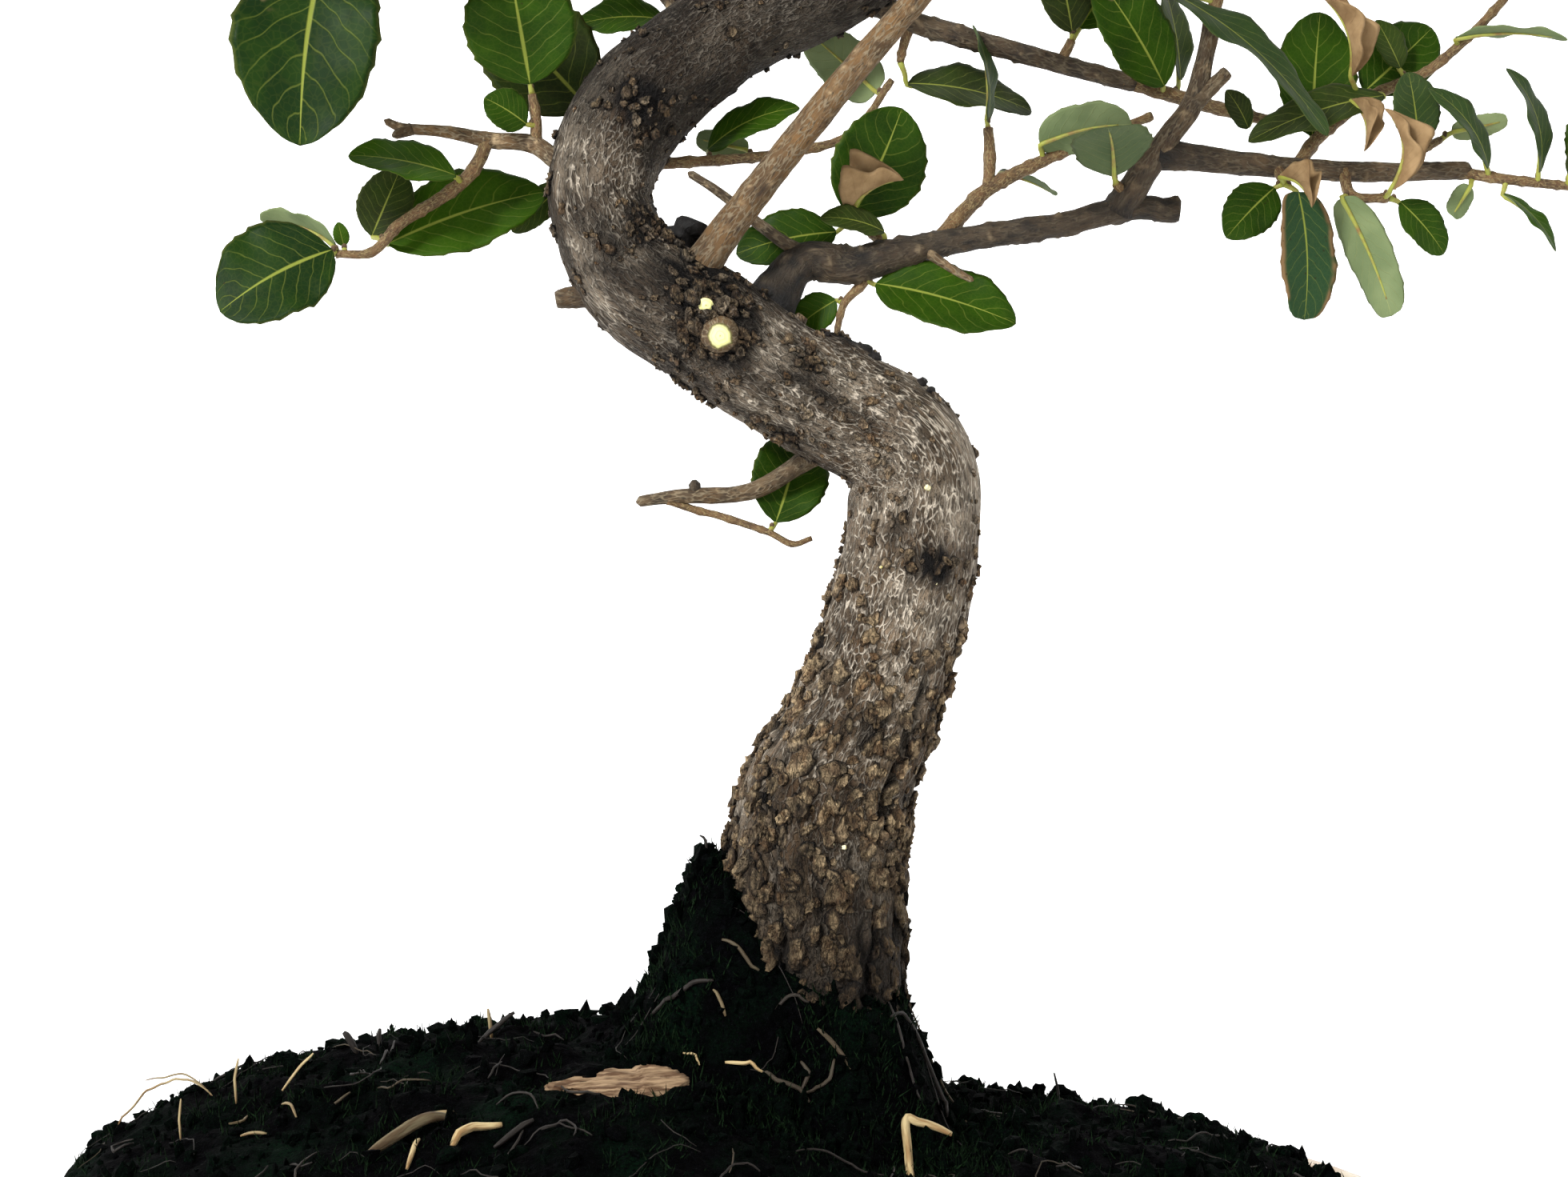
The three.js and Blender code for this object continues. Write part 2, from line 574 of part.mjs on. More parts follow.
// Woven screen over a drainage hole, under the soil.
function makeScreen(name, x) {
  const from = POT.foot + POT.floor + GAP;
  const to = from + SCREEN.thick;
  const cell = (SCREEN.size - SCREEN.bar) / SCREEN.cells;
  let screen = block(SCREEN.size, SCREEN.size, from, to, x, 0);
  for (let i = 0; i < SCREEN.cells; i += 1) {
    for (let j = 0; j < SCREEN.cells; j += 1) {
      const cellX = x + (i - (SCREEN.cells - 1) / 2) * cell;
      const cellY = (j - (SCREEN.cells - 1) / 2) * cell;
      const open = cell - SCREEN.bar;
      screen = screen.subtract(block(open, open, from - 1, to + 1, cellX, cellY));
    }
  }
  return toMesh(name, screen, COLOURS.screen);
}

// Height of the soil: a dome that is fuller on the left, banked up against the trunk.
function soilHeight(x, y) {
  const halfLength = POT.length / 2 - POT.lip;
  const halfWidth = POT.width / 2 - POT.lip;
  const away = Math.min(1, Math.hypot(x / halfLength, y / halfWidth));
  const left = THREE.MathUtils.smoothstep(-x, -50, 20);
  const dome = THREE.MathUtils.lerp(SOIL.right, SOIL.left, left) * (1 - away ** 3) ** 0.6;
  const fromTrunk = Math.hypot(x - TRUNK_FOOT.x, y - TRUNK_FOOT.y);
  const bank = THREE.MathUtils.smoothstep((TRUNK_FOOT.x - x) / (fromTrunk + 1), 0.4, 0.95);
  const start = THREE.MathUtils.lerp(20, 25, bank);
  const width = THREE.MathUtils.lerp(11, 16, bank);
  const cone = THREE.MathUtils.lerp(SOIL.rightCone, SOIL.leftCone, bank)
    * Math.exp(-((Math.max(0, fromTrunk - start) / width) ** 2));
  const waves = Math.sin(x / 7.3 + 1.2) * Math.cos(y / 6.1 - x / 17)
    + 0.7 * Math.sin(y / 4.7 + x / 11 + 2) * Math.cos(x / 5.1 - y / 13);
  const lumps = SOIL.lump * waves * (1 - away ** 6);
  return POT.height - 3 + dome + cone + lumps;
}

function makeSoil(trunkRoom) {
  const count = POT.facets;
  const floor = POT.foot + POT.floor + GAP;
  const rings = [potRing(POT_INSIDE[2].inset + GAP, floor, count)];
  rings.push(potRing(POT_INSIDE[1].inset + 2 * GAP, POT_INSIDE[1].z + 0.5, count));
  const rimInset = POT_INSIDE[0].inset + 4 * GAP;
  rings.push(potRing(rimInset, POT.height - 3, count));
  const reach = [0.97, 0.9, 0.81, 0.71, 0.61, 0.51, 0.42, 0.34, 0.27, 0.21, 0.17, 0.08];
  for (const share of reach) {
    const ring = oval(
      (POT.length / 2 - rimInset) * share,
      (POT.width / 2 - rimInset) * share + TRUNK_FOOT.x * share * (1 - share) * 0.4,
      0,
      count,
      TRUNK_FOOT.x * (1 - share),
    );
    ring.forEach((point) => {
      point.z = soilHeight(point.x, point.y);
    });
    rings.push(ring);
  }
  let soil = toSolid(skin(rings)).subtract(trunkRoom);
  for (const x of [-POT.drainX, POT.drainX]) {
    const side = SCREEN.size + 2 * GAP;
    soil = soil.subtract(block(side, side, floor - 1, floor + SCREEN.thick + GAP, x, 0));
  }
  return soil;
}

// Trunk: a bent tapering stem with corky warts, closer together and larger towards the foot.
function barkRelief() {
  const random = seeded(41);
  const swellings = SWELLINGS.map(({ at, reach, height }) => ({ at: seen(at), reach, height }));
  return (i, k, sample, out) => {
    const low = 1 - THREE.MathUtils.smoothstep(sample.at.z, 150, 330);
    const draw = random();
    const wart = draw > 0.8 - 0.12 * low ? 0.5 + 0.8 * low : 0;
    const grain = 0.35 * (random() - 0.5);
    const surface = sample.at.clone().addScaledVector(out, sample.radius);
    let swelling = 0;
    for (const { at, reach, height } of swellings) {
      const near = Math.max(0, 1 - surface.distanceToSquared(at) / (reach * reach));
      swelling += height * near * near;
    }
    const inSoil = sample.at.z < 112 ? 0 : 1;
    return inSoil * Math.min(1, sample.radius / 12) * (wart + grain + swelling);
  };
}

function makeWood(extra) {
  const room = (samples) => (extra > 0 ? grown(samples, extra) : samples);
  const trunk = skin(ringsAlong(room(sampleStem(TRUNK, TRUNK_STEP)), TRUNK_SIDES, barkRelief()));
  const limbs = Object.values(LIMBS).map((limb) => {
    const sides = limb[0][3] > 4.1 ? 7 : 5;
    return toSolid(skin(ringsAlong(room(sampleStem(limb, 20)), sides)));
  });
  return join([toSolid(trunk), ...limbs]);
}

// Leaf: an arched, slightly folded oval with a waved edge, and a petiole that starts in its twig.
function makeLeaf(foot, { base, tip, width, facing, bow, plain }) {
  const outline = plain ? BLADE.plain : BLADE.fine;
  const along = tip.clone().sub(base);
  const length = along.length();
  along.normalize();
  const face = new THREE.Vector3(...facing);
  face.addScaledVector(along, -face.dot(along)).normalize();
  const side = face.clone().cross(along);
  const at = (share, across, lift) => base.clone()
    .addScaledVector(along, length * share)
    .addScaledVector(side, across)
    .addScaledVector(face, lift + 4 * bow * length * share * (1 - share));
  const edge = (sign) => outline.edge.map(([share, half], i) => {
    const lift = BLADE.keel * half * width / 2 + BLADE.wave * length * (i % 2 ? -sign : sign);
    return { share, point: at(share, sign * half * width / 2, lift) };
  });
  const rib = outline.rib.map((share) => ({ share, point: at(share, 0, 0) }));
  const tipEnd = { share: 1, point: at(1, 0, 0) };
  const stalk = (sign) => ({ share: 0, point: at(0, sign * BLADE.stalk, 0) });
  const left = [stalk(1), ...edge(1), tipEnd];
  const right = [stalk(-1), ...edge(-1), tipEnd];
  const turn = new THREE.Quaternion().setFromUnitVectors(along, base.clone().sub(foot).normalize());
  const footSide = side.applyQuaternion(turn);
  const footEnds = [1, -1].map((sign) => foot.clone().addScaledVector(footSide, sign * BLADE.stalk));
  return thicken(left, right, rib, footEnds, face, face.clone().applyQuaternion(turn));
}

// The leaf's two faces, split alike, with a wall between them all round.
function thicken(left, right, rib, footEnds, face, footFace) {
  const border = [...left, ...right.slice(0, -1).reverse()];
  const flat = [
    ...[...border, ...rib].map(({ point }) => ({ point, up: face })),
    ...footEnds.map((point) => ({ point, up: footFace })),
  ];
  const count = flat.length;
  const lift = (by) => flat.map(({ point, up }) => point.clone().addScaledVector(up, by));
  const points = [...lift(BLADE.thick / 2), ...lift(-BLADE.thick / 2)];
  const triangles = [];
  const tipIndex = left.length - 1;
  const baseRight = border.length - 1;
  const ribIndex = (i) => (i < rib.length ? border.length + i : tipIndex);
  const rows = [
    { row: left, index: (i) => i, turn: 1 },
    { row: right, index: (i) => (i === tipIndex ? i : baseRight - i), turn: -1 },
  ];
  for (const { row, index, turn } of rows) {
    let i = 0;
    let j = 0;
    while (i < tipIndex - 1 || j < rib.length - 1) {
      const nextEdge = i + 1 < tipIndex ? row[i + 1].share : Infinity;
      const nextRib = j + 1 < rib.length ? rib[j + 1].share : Infinity;
      if (nextEdge <= nextRib) {
        pushBoth(triangles, [index(i), index(i + 1), ribIndex(j)], count, turn);
        i += 1;
      } else {
        pushBoth(triangles, [index(i), ribIndex(j + 1), ribIndex(j)], count, turn);
        j += 1;
      }
    }
    pushBoth(triangles, [index(i), tipIndex, ribIndex(j)], count, turn);
  }
  const [footLeft, footRight] = [count - 2, count - 1];
  pushBoth(triangles, [0, ribIndex(0), baseRight], count, 1);
  pushBoth(triangles, [footLeft, 0, baseRight], count, 1);
  pushBoth(triangles, [footLeft, baseRight, footRight], count, 1);
  const outside = [...border.keys(), footRight, footLeft];
  outside.forEach((i, k) => {
    const next = outside[(k + 1) % outside.length];
    triangles.push(i, i + count, next, next, i + count, next + count);
  });
  return toSolid(shell(points, triangles));
}

function pushBoth(triangles, [a, b, c], count, turn) {
  const [first, second] = turn > 0 ? [b, c] : [c, b];
  triangles.push(a, first, second, a + count, second + count, first + count);
}

function nearestOn(samples, point) {
  let best = samples[0].at;
  for (let i = 0; i + 1 < samples.length; i += 1) {
    const line = new THREE.Line3(samples[i].at, samples[i + 1].at);
    const near = line.closestPointToPoint(point, true, new THREE.Vector3());
    if (near.distanceTo(point) < best.distanceTo(point)) {
      best = near;
    }
  }
  return best;
}

function makeShoot(name, twigs, leaves, woodRoom) {
  const stems = twigs.map((twig) => sampleStem(twig, 24));
  const solids = stems.map((samples) => toSolid(skin(ringsAlong(samples, 4))));
  for (const leaf of leaves) {
    const feet = stems.map((samples) => nearestOn(samples, leaf.base));
    feet.sort((a, b) => a.distanceTo(leaf.base) - b.distanceTo(leaf.base));
    solids.push(makeLeaf(feet[0], leaf));
  }
  return toMesh(name, largest(join(solids).subtract(woodRoom)), COLOURS.leaf);
}

function seenShoots(woodRoom) {
  return Object.entries(SHOOTS).map(([name, { twigs, leaves }]) => {
    const placed = leaves.map(([base, tip, width, facing, bow]) => ({
      base: seen(base),
      tip: seen(tip),
      width,
      facing,
      bow,
      plain: width < BLADE.plainBelow,
    }));
    return makeShoot(name, twigs, placed, woodRoom);
  });
}

// Leaves of a crown shoot stand round it at the golden angle, with one at its end.
function crownLeaves(start, end, count, seed) {
  const random = seeded(seed);
  const from = seen(start);
  const to = seen(end);
  const tangent = to.clone().sub(from).normalize();
  const side = new THREE.Vector3(0, 0, 1).cross(tangent);
  if (side.length() < 0.2) {
    side.set(1, 0, 0);
  }
  side.normalize();
  const up = tangent.clone().cross(side).normalize();
  return Array.from({ length: count }, (_, i) => {
    const last = i === count - 1;
    const angle = i * GOLDEN_ANGLE + seed;
    const out = side.clone().multiplyScalar(Math.cos(angle)).addScaledVector(up, Math.sin(angle));
    const away = last ? 0.1 : 0.95;
    const direction = tangent.clone().multiplyScalar(last ? 1 : 0.5).addScaledVector(out, away);
    direction.z += 0.12;
    direction.normalize();
    const share = last ? 1 : 0.4 + (0.55 * i) / (count - 1);
    const base = from.clone().lerp(to, share).addScaledVector(direction, CROWN_LEAF.petiole);
    const length = CROWN_LEAF.length + CROWN_LEAF.spread * (random() - 0.5);
    const tip = base.clone().addScaledVector(direction, length);
    const facing = [0.5 * (random() - 0.5), -0.35, 1];
    const width = length * (CROWN_LEAF.slender + 0.1 * (random() - 0.5));
    return { base, tip, width, facing, bow: 0.05 + 0.04 * random(), plain: true };
  });
}

function crownShoots(woodRoom) {
  return Object.entries(CROWN).map(([name, [start, end, count, seed]]) => {
    const radius = CROWN_LEAF.twigRadius;
    const twig = [[...start, radius], [...end, radius * 0.65]];
    return makeShoot(name, [twig], crownLeaves(start, end, count, seed), woodRoom);
  });
}

// Broken wood chip, bedded in the front of the mound.
function makeChip(soilRoom) {
  const shape = new THREE.Shape([
    [-0.5, -0.1], [-0.3, -0.34], [0.1, -0.5], [0.42, -0.36], [0.5, 0.16], [0.3, 0.5],
    [-0.08, 0.38], [-0.36, 0.26],
  ].map(([x, y]) => new THREE.Vector2(x * CHIP.length, y * CHIP.width)));
  const chip = new THREE.ExtrudeGeometry(shape, {
    depth: CHIP.thick,
    bevelThickness: 0.8,
    bevelSize: 0.8,
    bevelSegments: 1,
  });
  const slope = (soilHeight(CHIP.x, CHIP.y + 6) - soilHeight(CHIP.x, CHIP.y - 6)) / 12;
  chip.translate(0, 0, -CHIP.thick / 2).rotateX(Math.atan(slope)).rotateZ(CHIP.turn);
  chip.translate(CHIP.x, CHIP.y, soilHeight(CHIP.x, CHIP.y) + 0.6);
  return toMesh('wood_chip', largest(toSolid(chip).subtract(soilRoom)), COLOURS.chip);
}

function makeStraw(name, { points, radius }, soilRoom) {
  const onSoil = points.flatMap(([x, y], i) => {
    const [nextX, nextY] = points[Math.min(points.length - 1, i + 1)];
    const steps = i + 1 < points.length ? 4 : 1;
    return Array.from({ length: steps }, (_, step) => {
      const share = step / steps;
      const at = new THREE.Vector3(x + (nextX - x) * share, y + (nextY - y) * share, 0);
      const along = (i + share) / (points.length - 1);
      at.z = soilHeight(at.x, at.y) + radius * (0.5 + 2.4 * Math.sin(Math.PI * along));
      return { at, radius };
    });
  });
  const straw = toSolid(skin(ringsAlong(onSoil, 6)));
  return toMesh(name, largest(straw.subtract(soilRoom)), COLOURS.straw);
}

// The main body of a trimmed solid, without the loose scraps that the trimming leaves.
function largest(solid) {
  const [main, ...scraps] = solid.decompose().sort((a, b) => b.volume() - a.volume());
  if (scraps.some((scrap) => scrap.volume() > SCRAP)) {
    throw new Error('a trimmed piece falls in two');
  }
  return main;
}

const wood = makeWood(0);
const woodRoom = makeWood(GAP);
const soil = makeSoil(woodRoom);
const soilRoom = soil.translate([0, 0, GAP]).add(soil);

const bonsai = new THREE.Group();
bonsai.add(makePot());
bonsai.add(makeScreen('drain_screen_left', -POT.drainX));
bonsai.add(makeScreen('drain_screen_right', POT.drainX));
bonsai.add(toMesh('soil', soil, COLOURS.soil));
bonsai.add(toMesh('trunk', wood, COLOURS.bark));
bonsai.add(...seenShoots(woodRoom));
bonsai.add(...crownShoots(woodRoom));
bonsai.add(makeChip(soilRoom));
for (const [name, straw] of Object.entries(STRAWS)) {
  bonsai.add(makeStraw(name, straw, soilRoom));
}

export default bonsai;
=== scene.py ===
"""Cork oak bonsai: fine bark, veined leaves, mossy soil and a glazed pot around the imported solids.

Plans hold millimetres. A length is multiplied by MM where a mesh is made from it.
"""

import logging
import math
import random
from collections.abc import Callable, Sequence
from dataclasses import dataclass, field
from enum import Enum

import bmesh
import bpy
import numpy as np
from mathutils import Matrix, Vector, noise


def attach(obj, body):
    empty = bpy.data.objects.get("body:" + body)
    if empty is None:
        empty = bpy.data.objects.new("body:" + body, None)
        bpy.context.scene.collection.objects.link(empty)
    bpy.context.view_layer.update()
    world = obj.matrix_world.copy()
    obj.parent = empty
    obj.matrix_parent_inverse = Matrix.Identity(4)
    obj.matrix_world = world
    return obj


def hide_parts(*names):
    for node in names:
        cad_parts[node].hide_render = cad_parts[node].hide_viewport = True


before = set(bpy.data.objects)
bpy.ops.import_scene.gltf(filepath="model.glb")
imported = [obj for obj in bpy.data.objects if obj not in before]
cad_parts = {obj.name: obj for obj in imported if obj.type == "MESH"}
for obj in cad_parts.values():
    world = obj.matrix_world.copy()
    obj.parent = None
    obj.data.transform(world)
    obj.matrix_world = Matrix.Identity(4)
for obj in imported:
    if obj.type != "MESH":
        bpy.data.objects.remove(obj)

LOG = logging.getLogger("bonsai")
MM = 0.001
TURN = 2 * math.pi
GOLDEN_ANGLE = 2.39996
VEIN_PAIRS = 8.0

# Outside of the pot, in millimetres.
POT_LENGTH = 352.0
POT_WIDTH = 250.0

Point = tuple[float, float, float]
Colour = tuple[float, float, float]
Points = list[tuple[float, float, float, float]]
Array = np.ndarray
Material = bpy.types.Material
NodeTree = bpy.types.NodeTree
Socket = bpy.types.NodeSocket
# What the inputs of a shader are fed with, and the height of its bump.
Coat = tuple[dict[str, object], object]

# The viewer's eye in front of the tree, and how far from it the plane of the trunk lies.
EYE = Vector((0.018, -0.600, 0.2139))
FOCUS = 0.600


def rgb(red: int, green: int, blue: int) -> Colour:
    """Linear colour of a screen colour with channels from 0 to 255.

    Args:
        red: red channel.
        green: green channel.
        blue: blue channel.

    Returns:
        The three linear channels.
    """
    return tuple((channel / 255) ** 2.2 for channel in (red, green, blue))


class Age(Enum):
    """State of a leaf, as (lightness of tone, dryness, blueness)."""

    YOUNG = (0.95, 0.0, 0.0)
    MATURE = (0.55, 0.0, 0.0)
    OLD = (0.15, 0.05, 0.1)
    DULL = (0.4, 0.04, 0.6)
    BLUISH = (0.1, 0.0, 0.95)
    DRY = (0.5, 1.0, 0.0)
    PALE = (0.7, 0.0, 0.02)
    # A leaf darkened with painted shade.
    SHADED = (0.2, 0.0, 0.1)


class Slot(Enum):
    """Names of material slots, one given with each new piece; the script does not use them."""

    BARK = "bark"
    LEAF = "leaf"
    SOIL = "soil"
    GLAZE = "glaze"
    CHIP = "chip"
    STRAW = "straw"


class End(Enum):
    """How a limb ends: the material slot of its end face, or none where bark closes it."""

    BARK = None
    FRESH = 1
    OLD = 2


@dataclass(frozen=True)
class Leaf:
    """A leaf: where its blade starts and ends, its width, where its top faces, its arch and age."""

    base: Point
    tip: Point
    width: float
    facing: Point
    bow: float
    age: Age = Age.MATURE


@dataclass(frozen=True)
class SprayPlan:
    """A leafy shoot: its twigs and its leaves."""

    twigs: list[Points]
    leaves: list[Leaf]


@dataclass(frozen=True)
class Limb:
    """A limb or stub: its axis, how warm and warty its bark is, and its dark, partly painted shade.
    """

    points: Points
    warmth: float = 0.25
    dark: float = 0.0
    rough: float = 0.5
    end: End = End.BARK


# Points of the trunk's axis, each with the radius there.
TRUNK_POINTS: Points = [
    (25.5, 0, 76, 22), (25.5, 0, 100, 22), (25.5, 0, 118, 22), (25.3, 0, 132, 22.6),
    (25.6, 1, 147, 22.6), (29.4, 2, 164, 20.7), (36, 3, 178, 18.7), (42.4, 4, 195, 17.8),
    (48.4, 4, 216, 17.3), (50.4, 4, 231, 16.6), (50.5, 4, 241, 16.4), (47.5, 3, 249, 16),
    (41, 2, 254.6, 15.4), (29.2, 0, 260.2, 15), (15, -2, 267.8, 14.7), (-0.2, -3, 278.6, 15),
    (-14.2, -4, 287.4, 14.8), (-21.6, -3, 294, 13.8), (-26.6, -2, 304.8, 12.8), (-28, -1, 313, 13),
    (-25.4, 1, 324, 13.8), (-17.6, 3, 336.4, 14), (-8, 5, 344.6, 13.7), (2.4, 6, 352.6, 13.2),
    (14.4, 6, 358.8, 13), (26.4, 6, 364, 12.6), (36, 5, 369, 12), (46, 4, 377, 10.8),
    (52, 2, 388, 9.6), (50, 0, 401, 8.6), (40, -2, 413, 7.6), (26, -2, 424, 6.4),
    (15, 0, 437, 5.2), (12, 0, 453, 3.6),
]

# Ways that a blade's glossy side can face.
FRONT = (0.1, -1, 0.25)
BEHIND = (0, 1, 0.3)
SKY = (0, -0.35, 1)
SKY_FRONT = (0, -0.8, 0.65)
SIDEWAYS = (1, -0.35, 0.1)

